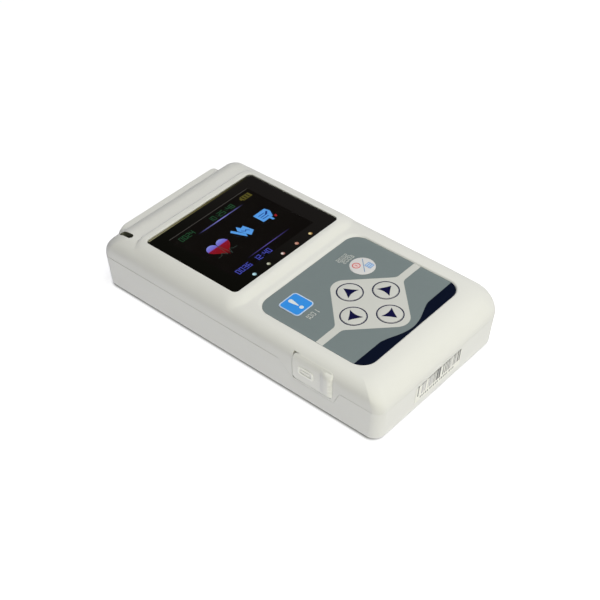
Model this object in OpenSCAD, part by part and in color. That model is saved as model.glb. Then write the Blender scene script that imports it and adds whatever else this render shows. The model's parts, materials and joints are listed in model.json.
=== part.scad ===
// Hand-held ECG home monitor: a two-half moulded case with a screen window, a printed keypad with
// six keys, a sealed data port on the left side, a lead socket at the far end and a battery bay
// under a swinging door. Millimetres. Origin: centre of the underside. +Y runs from the keypad end
// to the screen end, +X to the right of someone who reads the screen, +Z up.

/* [Case] */
// Width of the case at the seam
body_w = 75; // [72:0.5:84]
// Length of the case at the seam
body_l = 139.4; // [138:0.2:156]
// Height of the raised pad round the screen above the underside
body_h = 24.8; // [24:0.1:28]
// Height of the seam between the two halves
seam_z = 14.75; // [14:0.05:15.5]
// Open line between the two halves
seam_gap = 0.2; // [0.1:0.05:0.4]
// Step from the screen pad down to the keypad deck
deck_drop = 1.95; // [1.6:0.05:2.4]
// Step from the screen pad down to the band at the far end
band_drop = 1; // [0.6:0.05:1.4]
// Lean of the side walls, as a slope
side_draft = 0.03; // [0:0.005:0.05]
// Lean of the keypad end wall, as a slope
near_draft = 0.09; // [0.02:0.01:0.11]
// Lean of the lead socket end wall, as a slope
far_draft = 0.07; // [0.02:0.01:0.09]
// Radius of the upright corner at the keypad end, on the right
near_corner_r = 9.4; // [7:0.1:11]
// Radius of the upright corner at the keypad end, on the port's side
port_corner_r = 4.4; // [3:0.1:7]
// Radius of the upright corners at the lead socket end
far_corner_r = 4.7; // [3.5:0.1:6]
// Radius of the edge round the underside
foot_r = 2.5; // [1.5:0.1:3]
// Radius of the long top edges beside the keypad
deck_edge_r = 4.9; // [3.5:0.1:6]
// Radius of the long top edges at the far band
band_edge_r = 6.3; // [5:0.1:7.5]
// Radius of the long top edges beside the screen
pad_edge_r = 7.9; // [6:0.1:9]
// Length over which the keypad end rolls down
near_roll_l = 11; // [9:0.5:12]
// Height over which the keypad end rolls down
near_roll_h = 7.5; // [6:0.1:7.9]
// Radius of the top edge at the lead socket end
far_edge_r = 8.7; // [7:0.1:8.9]
// Wall thickness of both halves
wall = 2.1; // [1.8:0.1:2.4]
// Floor thickness of the bottom half
floor_t = 2; // [1.8:0.1:2.4]

/* [Keypad] */
// Width of the printed keypad sheet
panel_w = 57.4; // [56:0.2:60]
// Length of the printed keypad sheet
panel_l = 51.3; // [50:0.1:52]
// Corner radius of the keypad sheet
panel_r = 6.2; // [4:0.1:8]
// Thickness of the keypad sheet
film_t = 0.4; // [0.3:0.05:0.5]
// Distance from the keypad end of the case to the sheet
panel_margin = 13.7; // [13:0.1:15]
// Depth of the keypad sheet's face below the deck
panel_sink = 0.5; // [0.3:0.05:0.6]
// Width of the soft lip on the screen side of the keypad
far_lip = 2.2; // [1:0.1:2.6]
// Width of the soft lip on the other sides of the keypad
side_lip = 0.6; // [0.3:0.05:1]
// Distance from the near edge of the sheet to the centre of the arrow keys
arrow_from_edge = 20.85; // [20:0.05:22]
// Distance of each arrow key from the centre of the four
arrow_pitch = 9.45; // [9:0.05:10.5]
// Radius of an arrow key
arrow_r = 4.7; // [4:0.05:5]
// Radius of the round power key
power_r = 4.95; // [4:0.05:5.2]
// Width of the square mark key
mark_w = 9.9; // [8:0.1:10.4]
// Corner radius of the mark key
mark_r = 1.6; // [0.8:0.1:2.5]
// How far the keys move when pressed
key_travel = 0.4; // [0.2:0.05:0.5]
// How far a key stands above the sheet
key_proud = 0.12; // [0.05:0.01:0.3]
// Clearance round each key
key_gap = 0.12; // [0.08:0.01:0.2]

/* [Screen] */
// Width of the window
lens_w = 59; // [57:0.1:61]
// Distance from the window to the lead socket end of the case
window_margin = 17.9; // [16.5:0.1:18.5]
// Corner radius of the window
lens_r = 2; // [1:0.1:4]
// Thickness of the window
lens_t = 1.4; // [1:0.1:1.6]
// Depth of the window's face below the pad
lens_sink = 0.42; // [0.2:0.02:0.6]
// Distance from the keypad sheet to the window
window_gap = 9.1; // [8.6:0.1:10]
// Width of the ledge that carries the window
lens_ledge = 1.3; // [1:0.1:1.6]
// Thickness of the dark printed mask behind the window
mask_t = 0.15; // [0.1:0.05:0.2]
// Width of the lit area of the display
view_w = 43.6; // [42:0.1:45]
// Frame of the display module beside its lit area
display_rim = 4; // [3:0.1:4.4]
// Frame of the display module on the lamps' side of its lit area
display_rim_near = 2.8; // [2:0.05:3.4]
// Frame of the display module on the far side of its lit area
display_rim_far = 2.55; // [2:0.05:4]
// Distance from the display module to the far edge of the window
display_margin = 2.95; // [2:0.05:4]
// Thickness of the display module
display_t = 3; // [2.6:0.1:3.2]
// Distance from the near edge of the window to the lamps' centres
lamp_margin = 2.9; // [2.5:0.05:3.2]
// Number of indicator lamps under the screen
lamp_count = 5;
// Distance between indicator lamps
lamp_pitch = 8.03; // [6:0.05:9]
// Radius of an indicator lamp
lamp_r = 0.7; // [0.5:0.05:0.75]

/* [Port flap] */
// Length of the rubber flap along the case
flap_l = 18.6; // [17:0.1:20]
// Height of the rubber flap
flap_h = 11.6; // [11:0.1:12.2]
// Lowest edge of the rubber flap above the underside
flap_z = 9.6; // [9.2:0.05:9.9]
// Distance from the keypad end of the case to the flap
flap_from_end = 21.1; // [20.5:0.1:24]
// Thickness of the flap's skin
flap_t = 1.2; // [0.9:0.05:1.3]
// Corner radius of the flap
flap_r = 2; // [1:0.1:3]
// Clearance round the flap
flap_gap = 0.15; // [0.1:0.01:0.25]
// How far the finger grip stands out from the flap
grip_t = 1.2; // [0.6:0.1:2]
// Length of the finger grip along the case
grip_l = 4.6; // [3:0.1:6]

/* [Battery bay] */
// Length of a battery cell with its cap
cell_l = 50.5; // [44:0.1:51]
// Clearance between the cells and round them
cell_gap = 0.35; // [0.3:0.05:0.5]
// Clearance between the cells and the closed door
cell_lift = 0.3; // [0.2:0.05:0.5]
// Thickness of the roof over the cells
bay_roof_t = 0.8; // [0.6:0.1:1.2]
// Fitted length of the coil springs
spring_l = 3.2; // [2.4:0.1:4]
// Thickness of the battery door
door_t = 1.6; // [1.4:0.1:1.8]
// Gap between the door and the surface the monitor lies on
door_lift = 0.1; // [0.05:0.05:0.3]
// Clearance round the battery door
door_gap = 0.15; // [0.1:0.01:0.3]

/* [Sockets and fixings] */
// Width of the opening of the lead socket
socket_w = 48; // [40:0.5:49]
// Height of the opening of the lead socket
socket_h = 9; // [8:0.1:9.4]
// Depth of the opening of the lead socket
socket_d = 9.8; // [9:0.1:10.4]
// Height of the middle of the lead socket above the underside
socket_z = 13.7; // [13.2:0.1:14]
// Wall of the lead socket
socket_wall = 1.5; // [1.2:0.1:1.8]
// Number of contact pins in each of the two rows
pin_count = 10;
// Distance between contact pins
pin_pitch = 3.6; // [3:0.1:4]
// Radius of a contact pin
pin_r = 0.5; // [0.3:0.05:0.6]
// Half width of the square bulge over the lead socket
bulge_half_w = 28.6; // [27:0.1:28.8]
// Height of the top of the bulge above the underside
bulge_z = 22; // [21:0.1:22.6]
// Width of the lanyard slot
eye_w = 2.3; // [1.8:0.1:2.6]
// Length of the lanyard slot along the case
eye_l = 5.8; // [4:0.1:6]
// Radius of the case screws
screw_r = 1.25; // [1:0.05:1.4]
// Radius of the screw heads
screw_head_r = 2.3; // [2:0.05:2.5]
// Height of the screw heads
screw_head_h = 1.6; // [1.2:0.1:2]
// Width of the bar label on the keypad end
label_w = 27; // [20:0.5:34]
// Height of the bar label on the keypad end
label_h = 7.6; // [5:0.1:8]

/* [Hidden] */
$fn = 48;

half_w = body_w / 2;
near_y = -body_l / 2;
far_y = body_l / 2;
deck_z = body_h - deck_drop;
band_z = body_h - band_drop;
top_z0 = seam_z + seam_gap / 2;
low_z1 = seam_z - seam_gap / 2;
eps = 0.01;
hull_fn = 40;

// Keypad sheet, window and screen, along the case
panel_y0 = near_y + panel_margin;
panel_y1 = panel_y0 + panel_l;
panel_z = deck_z - panel_sink;
film_z = panel_z - film_t;
deck_t = 1.85;
deck_under = film_z - deck_t;
window_y0 = panel_y1 + window_gap;
window_y1 = far_y - window_margin;
lens_l = window_y1 - window_y0;
window_yc = (window_y0 + window_y1) / 2;
lens_z1 = body_h - lens_sink;
lens_z0 = lens_z1 - lens_t;
mask_z = lens_z0 - mask_t;
lens_fit = 0.1;
ledge_t = 1.6;
pad_under = mask_z - ledge_t;
lamp_y = window_y0 + lamp_margin;
lamp_gap = 0.6;
display_w = view_w + 2 * display_rim;
display_y0 = lamp_y + lamp_r + lamp_gap;
display_y1 = window_y1 - display_margin;
view_y0 = display_y0 + display_rim_near;
view_y1 = display_y1 - display_rim_far;
display_gap = 0.15;
display_z1 = mask_z - display_gap;
display_z0 = display_z1 - display_t;
display_r = 0.8;
glass_rim = 0.6;
glass_t = 1.2;
mask_rim = 0.4;
board_t = 1.2;
board_z = display_z0 - board_t;
board_w = display_w + 6.4;
board_rim = 2;
board_r = 1.5;

// Raised pad round the screen: where its slopes begin and end
ridge_run = 3.1;
ridge_y0 = window_y0 - 5.1;
pad_far_y = window_y1 + 3.3;
pad_step_run = 0.6;
pad_far_r = 4;
pad_near_r = 6;

// Keys: name, x and y, measured from the keypad sheet
arrow_y = panel_y0 + arrow_from_edge;
mark_from_side = 10.8;
mark_from_end = 10.4;
power_from_side = 13.85;
power_from_end = 15;
mark_at = [mark_from_side - panel_w / 2, panel_y1 - mark_from_end];
power_at = [panel_w / 2 - power_from_side, panel_y1 - power_from_end];
KEYS = [["mark", mark_at], ["power", power_at],
  ["up", [0, arrow_y + arrow_pitch]], ["down", [0, arrow_y - arrow_pitch]],
  ["left", [-arrow_pitch, arrow_y]], ["right", [arrow_pitch, arrow_y]]];
flange_t = 0.4;
flange_w = 0.7;
flange_slack = 0.2;
nub_r = 1.5;
nub_h = 0.15;
key_z1 = panel_z + key_proud;
key_z0 = deck_under - flange_slack;
nub_z = key_z0 - flange_t - nub_h;
switch_slack = 0.1;
switch_top = nub_z - key_travel - switch_slack;
key_board_t = 0.8;
switch_h = 0.55;
key_board_z = switch_top - switch_h - key_board_t;
board_hw = 25;
key_board_near = 3.5;
key_board_far = 1.8;
switch_w = 5.2;
dome_r = 1.9;

// Battery bay, door and its pivot: the cells fill the height between the door and the key board
door_z1 = door_lift + door_t;
cell_top_gap = 0.2;
cell_d = key_board_z - bay_roof_t - cell_top_gap - door_z1 - cell_lift;
cell_r = cell_d / 2;
cell_z = door_z1 + cell_lift + cell_r;
cell_x = cell_r + cell_gap / 2;
cell_cap_r = 2.7;
cell_cap_h = 1.2;
cell_end_gap = 0.15;
bay_hw = cell_d + cell_gap * 1.5;
contact_t = 0.5;
bay_margin = 8.3;
bay_y0 = near_y + bay_margin;
bay_y1 = bay_y0 + contact_t * 2 + spring_l + cell_l + 2 * cell_end_gap;
bay_roof_z = cell_z + cell_r + cell_top_gap;
bay_wall = 1.2;
bay_foot_w = 1.2;
bay_foot_h = 1;
door_side = 2.4;
door_near = 1.1;
knuckle_r = door_t / 2;
door_axis_y = bay_y1 + 0.4;
door_axis_z = door_lift + knuckle_r;
door_y0 = bay_y0 - door_near;
door_hw = bay_hw + door_side;
rim_y = door_axis_y + knuckle_r + door_gap;
tab_w = 2.6;
tab_side = 0.4;
tab_x = bay_hw - tab_side - tab_w / 2;
tab_t = 1;
tab_reach = 3;
tab_lift = 0.35;
tab_room = 3.6;
tab_z = door_z1 + tab_lift;
thumb_r = 7;
thumb_sink = 0.28 * thumb_r;
rib_count = 5;
rib_pitch = 1.6;
rib_w = 0.8;
rib_l = 10;
rib_margin = 3;
rib_depth = 0.4;

// Coil springs behind the cells: cones of wire, wide at the contact and narrow at the cell
wire_r = 0.35;
spring_r0 = 3.9;
spring_r1 = 2.4;
spring_turns = 3.5;
spring_sides = 8;
spring_steps = 14;
wire_sink = 0.05;
contact_w = 8.8;

// Port and its flap on the left side
flap_y0 = near_y + flap_from_end;
flap_y1 = flap_y0 + flap_l;
flap_z1 = flap_z + flap_h;
bead_r = 0.9;
bead_fit = 0.08;
swing_fit = 0.48;
flap_shift = 0.05;
hinge_set = 0.25;
hinge_y = flap_y1 - bead_r - hinge_set;
hinge_x = -(side_x(flap_z) - bead_r - flap_shift);
skin_x = -half_w + 0.1 + flap_t;
grip_margin = 0.3;
grip_h = flap_h - 1.8;
grip_drop = 0.4;
grip_r = 1.6;
grip_top_r = 2.6;
flap_root = 5;
port_w = 7.7;
port_h = 3.9;
port_d = 9;
port_t = 0.35;
port_setback = 1.2;
port_yc = flap_y0 + 12.1;
port_z1 = key_board_z;
port_zc = port_z1 - port_h / 2;
port_x0 = skin_x + port_setback;
tongue_side = 1.6;
tongue_t = 0.9;
plug_l = 0.9;
plug_gap = 0.6;
plug_fit = 0.1;
boss_t = 0.8;
boss_w = 3.6;
backing_t = 2;
backing_near = 8;
backing_far = 7;
backing_h = 6.2;

// The skirt of the top half that reaches down round the port
skirt_z = flap_z - 1.05;
skirt_head = 2;
skirt_y0 = flap_y0 - 1.2;
skirt_y1 = flap_y1 + 1;
skirt_slope_near = 2.6;
skirt_slope_far = 5.8;
skirt_r = 1.8;

// Lead socket and lanyard eye at the far end
socket_face = far_wall(socket_z) + 0.15;
socket_hw = socket_w / 2 + socket_wall;
socket_hh = socket_h / 2 + socket_wall;
socket_r = 2;
socket_back = 2.5;
socket_y0 = socket_face - socket_d - socket_back;
pin_l = 5.4;
pin_row = 3.4;
pin_tail = 0.8;
bulge_r = 5;
eye_x = -(bulge_half_w + 0.45 + eye_w / 2);
eye_y1 = far_y - 5.1;
eye_y0 = eye_y1 - eye_l;
eye_z0 = seam_z + 0.9;
eye_exit_h = 3;

// Screws and the posts that take them
screw_from_side = 6.6;
screw_from_near = 14.5;
screw_from_far = 25.7;
screw_x = half_w - screw_from_side;
screw_near = near_y + screw_from_near;
screw_far = far_y - screw_from_far;
SCREWS = [for (y = [screw_near, screw_far], s = [-1, 1]) [s * screw_x, y]];
post_r = 3;
post_cup_w = 0.9;
post_fit = 0.15;
screw_sink = 3.6;
post_z0 = screw_sink + floor_t + 4;
screw_z1 = screw_sink + floor_t + 9;
thread_fit = 0.05;
shank_fit = 0.25;
head_fit = 0.2;
slot_w = 0.6;
slot_l = 2.6;
slot_depth = 0.8;
board_post_x = 24;
board_post_r = 2.2;
lip_t = 0.9;
lip_h = 1.2;
lip_fit = 0.1;
label_t = 0.1;
label_glue = 0.02;
label_z = 4.9;
label_x = -3;

case_white = [0.86, 0.86, 0.83];
film_grey = [0.47, 0.51, 0.52];
steel = [0.75, 0.76, 0.78];
rubber_white = [0.83, 0.83, 0.81];
board_green = [0.08, 0.33, 0.22];

function side_x(z) = half_w - side_draft * abs(z - seam_z);
function near_wall(z) = near_y + near_draft * abs(z - seam_z);
function far_wall(z) = far_y - far_draft * abs(z - seam_z);
// How far a rounded edge has drawn in at height z, for an edge that ends at top
function roll(z, top, run, rise) =
  z <= top - rise ? 0 : run * (1 - sqrt(max(0, 1 - pow((z - top + rise) / rise, 2))));

// Rounded rectangle with its own corner radius at each end
module plan(hw, y0, y1, rn, rf) {
  translate([-hw, y0 + rn]) square([2 * hw, y1 - y0 - rn - rf]);
  translate([-hw + rn, y0]) square([2 * (hw - rn), y1 - y0 - rf]);
  translate([-hw + rf, y0 + rn]) square([2 * (hw - rf), y1 - y0 - rn]);
  for (s = [-1, 1]) {
    translate([s * (hw - rn), y0 + rn]) circle(rn);
    translate([s * (hw - rf), y1 - rf]) circle(rf);
  }
}

module box_round(w, l, r, z0, z1, yc) {
  translate([0, 0, z0]) linear_extrude(z1 - z0) plan(w / 2, yc - l / 2, yc + l / 2, r, r);
}

// One thin level of a rounded form that a hull joins to the next; left_r is its near left corner's
module level(z, hw, y0, y1, rn, rf, left_r = undef) {
  near_r = [is_undef(left_r) ? rn : left_r, rn];
  for (i = [0, 1]) {
    s = 2 * i - 1;
    translate([s * (hw - near_r[i]), y0 + near_r[i], z - eps])
      cylinder(h = eps, r = near_r[i], $fn = hull_fn);
    translate([s * (hw - rf), y1 - rf, z - eps]) cylinder(h = eps, r = rf, $fn = hull_fn);
  }
}

// Whole length of the top half at the height of the keypad deck
module deck_form() {
  steps = 10;
  hull() for (i = [0:steps]) {
    z = top_z0 + eps + (deck_z - top_z0 - eps) * sin(90 * i / steps);
    level(z, side_x(z) - roll(z, deck_z, deck_edge_r, deck_edge_r),
      near_wall(z) + roll(z, deck_z, near_roll_l, near_roll_h),
      far_wall(z) - roll(z, deck_z, far_edge_r, far_edge_r - band_drop), near_corner_r, far_corner_r,
      port_corner_r);
  }
}

// Raised far part of the top half, from the screen's near ridge to the end wall
module band_form() {
  steps = 8;
  hull() for (i = [0:steps]) {
    z = top_z0 + eps + (band_z - top_z0 - eps) * sin(90 * i / steps);
    up = max(0, (z - deck_z) / (band_z - deck_z));
    level(z, side_x(z) - roll(z, band_z, band_edge_r, band_edge_r), ridge_y0 + 2.6 * up,
      far_wall(z) - roll(z, band_z, far_edge_r, far_edge_r), pad_near_r, far_corner_r);
  }
}

// Pad round the screen, with a soft ridge towards the keypad and a small step to the far band
module pad_form() {
  steps = 6;
  z0 = deck_z - 0.4;
  hull() for (i = [0:steps]) {
    z = z0 + (body_h - z0) * sin(90 * i / steps);
    up = min(1, max(0, (z - deck_z) / (body_h - deck_z)));
    level(z, side_x(z) - roll(z, body_h, pad_edge_r, pad_edge_r),
      ridge_y0 + ridge_run * (1 - pow(1 - up, 0.62)),
      pad_far_y - pad_step_run * up, pad_near_r, pad_far_r);
  }
}

// Square shoulder over the lead socket, flush with the end wall
module bulge() {
  nick = 0.6;
  y0 = far_y - far_edge_r - 2;
  intersection() {
    translate([0, far_y, 0]) rotate([90, 0, 0]) linear_extrude(far_y - y0) {
      translate([-bulge_half_w, top_z0]) square([2 * bulge_half_w, bulge_z - bulge_r - top_z0]);
      translate([-bulge_half_w + bulge_r, top_z0])
        square([2 * (bulge_half_w - bulge_r), bulge_z - top_z0]);
      for (s = [-1, 1]) translate([s * (bulge_half_w - bulge_r), bulge_z - bulge_r]) circle(bulge_r);
    }
    translate([-half_w, 0, 0]) rotate([90, 0, 90]) linear_extrude(body_w)
      polygon([[y0, top_z0], [far_wall(top_z0), top_z0], [far_wall(bulge_z) , bulge_z - nick],
        [far_wall(bulge_z) - nick, bulge_z], [y0, bulge_z]]);
  }
}

// Bottom half's outer form, from the underside up to height top
module low_form(top) {
  steps = 5;
  hull() {
    for (i = [0:steps]) {
      z = foot_r * (1 - cos(90 * i / steps)) + eps;
      draw = foot_r * (1 - sqrt(1 - pow(max(0, foot_r - z + eps) / foot_r, 2)));
      level(z, side_x(z) - draw, near_wall(z) + draw, far_wall(z) - draw,
        near_corner_r, far_corner_r, port_corner_r);
    }
    level(top, side_x(top), near_wall(top), far_wall(top), near_corner_r, far_corner_r, port_corner_r);
  }
}

// Outline, in y and z, of the skirt round the port, grown by g
function skirt_points(g) = [
  [skirt_y0 - skirt_slope_near - g, seam_z + skirt_head], [skirt_y0 - skirt_slope_near - g, top_z0],
  [skirt_y0 - skirt_slope_near + 1 - g, top_z0 - 1], for (a = [0:30:90])
    [skirt_y0 + skirt_r - (skirt_r + g) * cos(a), skirt_z + skirt_r - (skirt_r + g) * sin(a)],
  for (a = [0:30:60])
    [skirt_y1 - skirt_r + (skirt_r + g) * sin(a), skirt_z + skirt_r - (skirt_r + g) * cos(a)],
  [skirt_y1 + skirt_slope_far - 1.2 + g, top_z0 - 0.8],
  [skirt_y1 + skirt_slope_far + g, top_z0], [skirt_y1 + skirt_slope_far + g, seam_z + skirt_head]];

module skirt_prism(g, x0, x1) {
  translate([x0, 0, 0]) rotate([90, 0, 90]) linear_extrude(x1 - x0) polygon(skirt_points(g));
}

// Flap outline, in y and z, grown by g
module flap_outline(g) {
  translate([flap_y0 - g, flap_z - g + flap_r]) square([flap_l + 2 * g, flap_h + 2 * g - 2 * flap_r]);
  translate([flap_y0 - g + flap_r, flap_z - g]) square([flap_l + 2 * g - 2 * flap_r, flap_h + 2 * g]);
  for (y = [flap_y0 - g + flap_r, flap_y1 + g - flap_r], z = [flap_z - g + flap_r, flap_z1 + g - flap_r])
    translate([y, z]) circle(flap_r);
}

module along_x(x0, x1) {
  translate([x0, 0, 0]) rotate([90, 0, 90]) linear_extrude(x1 - x0) children();
}

module along_y(y0, y1) {
  translate([0, y1, 0]) rotate([90, 0, 0]) linear_extrude(y1 - y0) children();
}

module block(x0, x1, y0, y1, z0, z1) {
  translate([x0, y0, z0]) cube([x1 - x0, y1 - y0, z1 - z0]);
}

module post(at, r, z0, z1) {
  translate([at[0], at[1], z0]) cylinder(h = z1 - z0, r = r);
}

module key_shape(name, g) {
  if (name == "mark") plan(mark_w / 2 + g, -mark_w / 2 - g, mark_w / 2 + g, mark_r + g, mark_r + g);
  else circle(r = (name == "power" ? power_r : arrow_r) + g);
}

module socket_body(g, y0, y1) {
  along_y(y0, y1) translate([0, socket_z])
    plan(socket_hw + g, -socket_hh - g, socket_hh + g, socket_r + socket_wall, socket_r + socket_wall);
}

// Inner edge of both halves' walls at the seam, grown by g
module lip_plan(g) {
  plan(half_w - wall + g, near_y + wall - g, far_y - wall + g, near_corner_r - wall + g,
    far_corner_r - wall + g);
}

// Gap in the lip where the skirt comes down
module skirt_gate() {
  block(-half_w, -half_w + wall + 2, skirt_y0 - skirt_slope_near - 1, skirt_y1 + skirt_slope_far + 1,
    0, body_h);
}

module top_cover() {
  inner_hw = side_x(top_z0) - wall;
  color(case_white) difference() {
    union() {
      difference() {
        union() {
          deck_form();
          band_form();
          pad_form();
          bulge();
          intersection() {
            low_form(top_z0 + 0.3);
            skirt_prism(0, -half_w, -inner_hw);
          }
        }
        // Hollow, in three steps that follow the rounded outside
        translate([0, 0, top_z0 - 0.05]) linear_extrude(deck_edge_z() - top_z0 + 0.05)
          plan(inner_hw, near_wall(seam_z) + wall, far_wall(seam_z) - wall - 0.4,
            near_corner_r - wall, far_corner_r - wall);
        translate([0, 0, top_z0]) linear_extrude(deck_under - top_z0)
          plan(inner_hw - 1.1, near_wall(seam_z) + near_roll_l / 2, far_y - far_edge_r + 2,
            near_corner_r - wall, far_corner_r);
        translate([0, 0, top_z0]) linear_extrude(pad_under - top_z0)
          plan(half_w - pad_edge_r + 2.6, window_y0 - 2, window_y1 + 2, 3, 3);
      }
      // Screw posts, the boss round the flap's hinge bead and the wall behind the flap
      for (at = SCREWS) post(at, post_r, post_z0 + 0.2, deck_under + 0.3);
      block(-inner_hw - 0.3, -inner_hw + boss_t, hinge_y - boss_w / 2, hinge_y + boss_w / 2,
        flap_z, flap_z1);
      block(-inner_hw - 0.3, skin_x + backing_t, port_yc - backing_near, port_yc + backing_far,
        port_z1 - backing_h, port_z1);
    }
    // Seat of the keypad sheet with its soft lip
    box_round(panel_w + 0.2, panel_l + 0.2, panel_r, film_z, deck_z + 1, (panel_y0 + panel_y1) / 2);
    hull() {
      level(panel_z + eps, panel_w / 2 + 0.1, panel_y0 - 0.1, panel_y1 + 0.1, panel_r, panel_r);
      level(deck_z + 0.02, panel_w / 2 + side_lip, panel_y0 - side_lip, panel_y1 + far_lip,
        panel_r + side_lip, panel_r + side_lip);
    }
    for (k = KEYS) translate([k[1][0], k[1][1], deck_under - 1])
      linear_extrude(deck_t + 2) key_shape(k[0], key_gap);
    // Seat of the window and the opening under it
    box_round(lens_w + 2 * lens_fit, lens_l + 2 * lens_fit, lens_r, mask_z, body_h + 1, window_yc);
    box_round(lens_w - 2 * lens_ledge, lens_l - 2 * lens_ledge, lens_r, pad_under - 1, mask_z + 1,
      window_yc);
    // Screw holes
    for (at = SCREWS) post(at, screw_r - thread_fit, 0, screw_z1 + 2);
    // Lead socket, its way in and the lanyard eye
    socket_body(lip_fit, socket_y0 - 1, far_y + 1);
    translate([0, 0, eye_z0]) linear_extrude(body_h - eye_z0) for (y = [eye_y0, eye_y1 - eye_w])
      translate([eye_x, y + eye_w / 2]) circle(eye_w / 2);
    block(eye_x - eye_w / 2, eye_x + eye_w / 2, eye_y0 + eye_w / 2, eye_y1 - eye_w / 2, eye_z0, body_h);
    block(eye_x - eye_w / 2, eye_x + eye_w / 2, eye_y0 + eye_w / 2, far_y + 1, eye_z0,
      eye_z0 + eye_exit_h);
    // Seat of the flap, the groove of its hinge bead with room for the swing, the hole to the port
    along_x(-half_w - 1, skin_x + flap_gap) flap_outline(flap_gap);
    post([hinge_x, hinge_y], bead_r + bead_fit, flap_z - flap_gap, flap_z1 + flap_gap);
    for (z = [flap_z - flap_gap, flap_z1 - flap_r])
      post([hinge_x, hinge_y], bead_r + swing_fit, z, z + flap_r + flap_gap);
    block(-half_w, port_x0 + 2, port_yc - port_w / 2 - plug_gap, port_yc + port_w / 2 + plug_gap,
      port_zc - port_h / 2 - 0.4, port_zc + port_h / 2);
    // Rebate for the bottom half's lip
    difference() {
      translate([0, 0, top_z0 - 0.2]) linear_extrude(lip_h + 0.3) lip_plan(lip_t + lip_fit);
      translate([0, 0, top_z0 - 1]) linear_extrude(lip_h + 2) lip_plan(-0.05);
      skirt_gate();
    }
  }
}

// Height up to which the inside of the top half keeps its full width
function deck_edge_z() = deck_z - deck_edge_r + 0.3;

module bottom_cover() {
  inner_hw = side_x(low_z1) - wall;
  color(case_white) difference() {
    union() {
      difference() {
        low_form(low_z1);
        translate([0, 0, floor_t]) linear_extrude(low_z1) plan(inner_hw, near_y + wall + 0.9,
          far_y - wall - 0.7, near_corner_r - wall, far_corner_r - wall);
        skirt_prism(seam_gap / 2, -half_w - 1, -inner_hw + 1);
      }
      // Lip that reaches up inside the top half
      difference() {
        translate([0, 0, low_z1 - 2]) linear_extrude(lip_h + 2) lip_plan(lip_t);
        translate([0, 0, low_z1 - 3]) linear_extrude(lip_h + 4) lip_plan(0);
        skirt_gate();
      }
      // Battery box: a wide foot for the door's rim and thinner walls above
      block(-door_hw - bay_foot_w, door_hw + bay_foot_w, door_y0 - bay_foot_w - 0.4,
        rim_y + bay_foot_w + 0.8, floor_t - 0.5, floor_t + bay_foot_h);
      block(-bay_hw - bay_wall, bay_hw + bay_wall, bay_y0 - bay_wall, bay_y1 + bay_wall, floor_t,
        key_board_z);
      for (at = SCREWS) post(at, post_r + post_cup_w, floor_t - 0.5, post_z0);
      // Posts for the main board
      for (sx = [-1, 1], y = [window_y0 + board_rim, window_y1 - board_rim])
        post([sx * board_post_x, y], board_post_r, floor_t - 0.5, board_z);
    }
    // Door recess, rim, battery space and thumb scoop
    block(-door_hw - door_gap, door_hw + door_gap, door_y0 - door_gap, rim_y, -1, door_z1 + 0.05);
    block(-bay_hw, bay_hw, bay_y0, bay_y1, 0, bay_roof_z);
    for (s = [-1, 1])
      block(s * tab_x - tab_w / 2 - tab_side, s * tab_x + tab_w / 2 + tab_side, bay_y1 - 1,
        rim_y + tab_reach, door_z1, door_z1 + tab_room);
    translate([0, door_y0 - thumb_r * 0.35, thumb_sink - thumb_r]) sphere(thumb_r);
    // Screws: head pocket and shank
    for (at = SCREWS) {
      post(at, screw_head_r + head_fit, -1, screw_sink);
      post(at, screw_r + shank_fit, 0, body_h);
      post(at, post_r + post_fit, post_z0, body_h);
    }
    socket_body(lip_fit, socket_y0 - 1, far_y + 1);
  }
}

module window_lens() {
  color([0.04, 0.04, 0.05, 0.6])
    box_round(lens_w, lens_l, lens_r - lens_fit, lens_z0, lens_z1, window_yc);
}

module window_mask() {
  color([0.02, 0.02, 0.02]) difference() {
    box_round(lens_w, lens_l, lens_r - lens_fit, mask_z, lens_z0, window_yc);
    lit_area(mask_rim, mask_z - 1, lens_z0 + 1);
    for (i = [1:lamp_count]) post([lamp_x(i), lamp_y], lamp_r - 0.05, mask_z - 1, lens_z0 + 1);
  }
}

function lamp_x(i) = (i - (lamp_count + 1) / 2) * lamp_pitch;

// Block as large as the display's lit area, grown by g
module lit_area(g, z0, z1) {
  block(-view_w / 2 - g, view_w / 2 + g, view_y0 - g, view_y1 + g, z0, z1);
}

module display_glass() {
  color([0.06, 0.07, 0.1]) lit_area(glass_rim, display_z1 - glass_t, display_z1);
}

module display_frame() {
  color(steel) difference() {
    box_round(display_w, display_y1 - display_y0, display_r, display_z0, display_z1,
      (display_y0 + display_y1) / 2);
    lit_area(glass_rim, display_z1 - glass_t, display_z1 + 1);
  }
}

module main_board() {
  color(board_green) difference() {
    box_round(board_w, lens_l + 2 * board_rim, board_r, board_z, display_z0, window_yc);
    for (at = SCREWS) post(at, post_r + 0.4, board_z - 1, display_z0 + 1);
  }
}

module key_board() {
  color(board_green) translate([0, 0, key_board_z]) linear_extrude(key_board_t) {
    plan(board_hw, panel_y0 + key_board_near, panel_y1 - key_board_far, board_r, board_r);
    translate([port_x0 + port_setback / 2, port_yc - port_w / 2 - board_r])
      square([-board_hw - port_x0 + 1, port_w + 2 * board_r]);
  }
}

module keypad_sheet() {
  color(film_grey) translate([0, 0, film_z]) linear_extrude(film_t) difference() {
    plan(panel_w / 2, panel_y0, panel_y1, panel_r - 0.1, panel_r - 0.1);
    for (k = KEYS) translate(k[1]) key_shape(k[0], key_gap);
  }
}

module key(k) {
  tint = k[0] == "mark" ? [0.2, 0.55, 0.9] : [0.8, 0.8, 0.77];
  color(tint) translate([k[1][0], k[1][1], 0]) {
    translate([0, 0, key_z0]) linear_extrude(key_z1 - key_z0) key_shape(k[0], 0);
    translate([0, 0, key_z0 - flange_t]) linear_extrude(flange_t + eps) key_shape(k[0], flange_w);
    post([0, 0], nub_r, nub_z, key_z0);
  }
}

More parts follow.
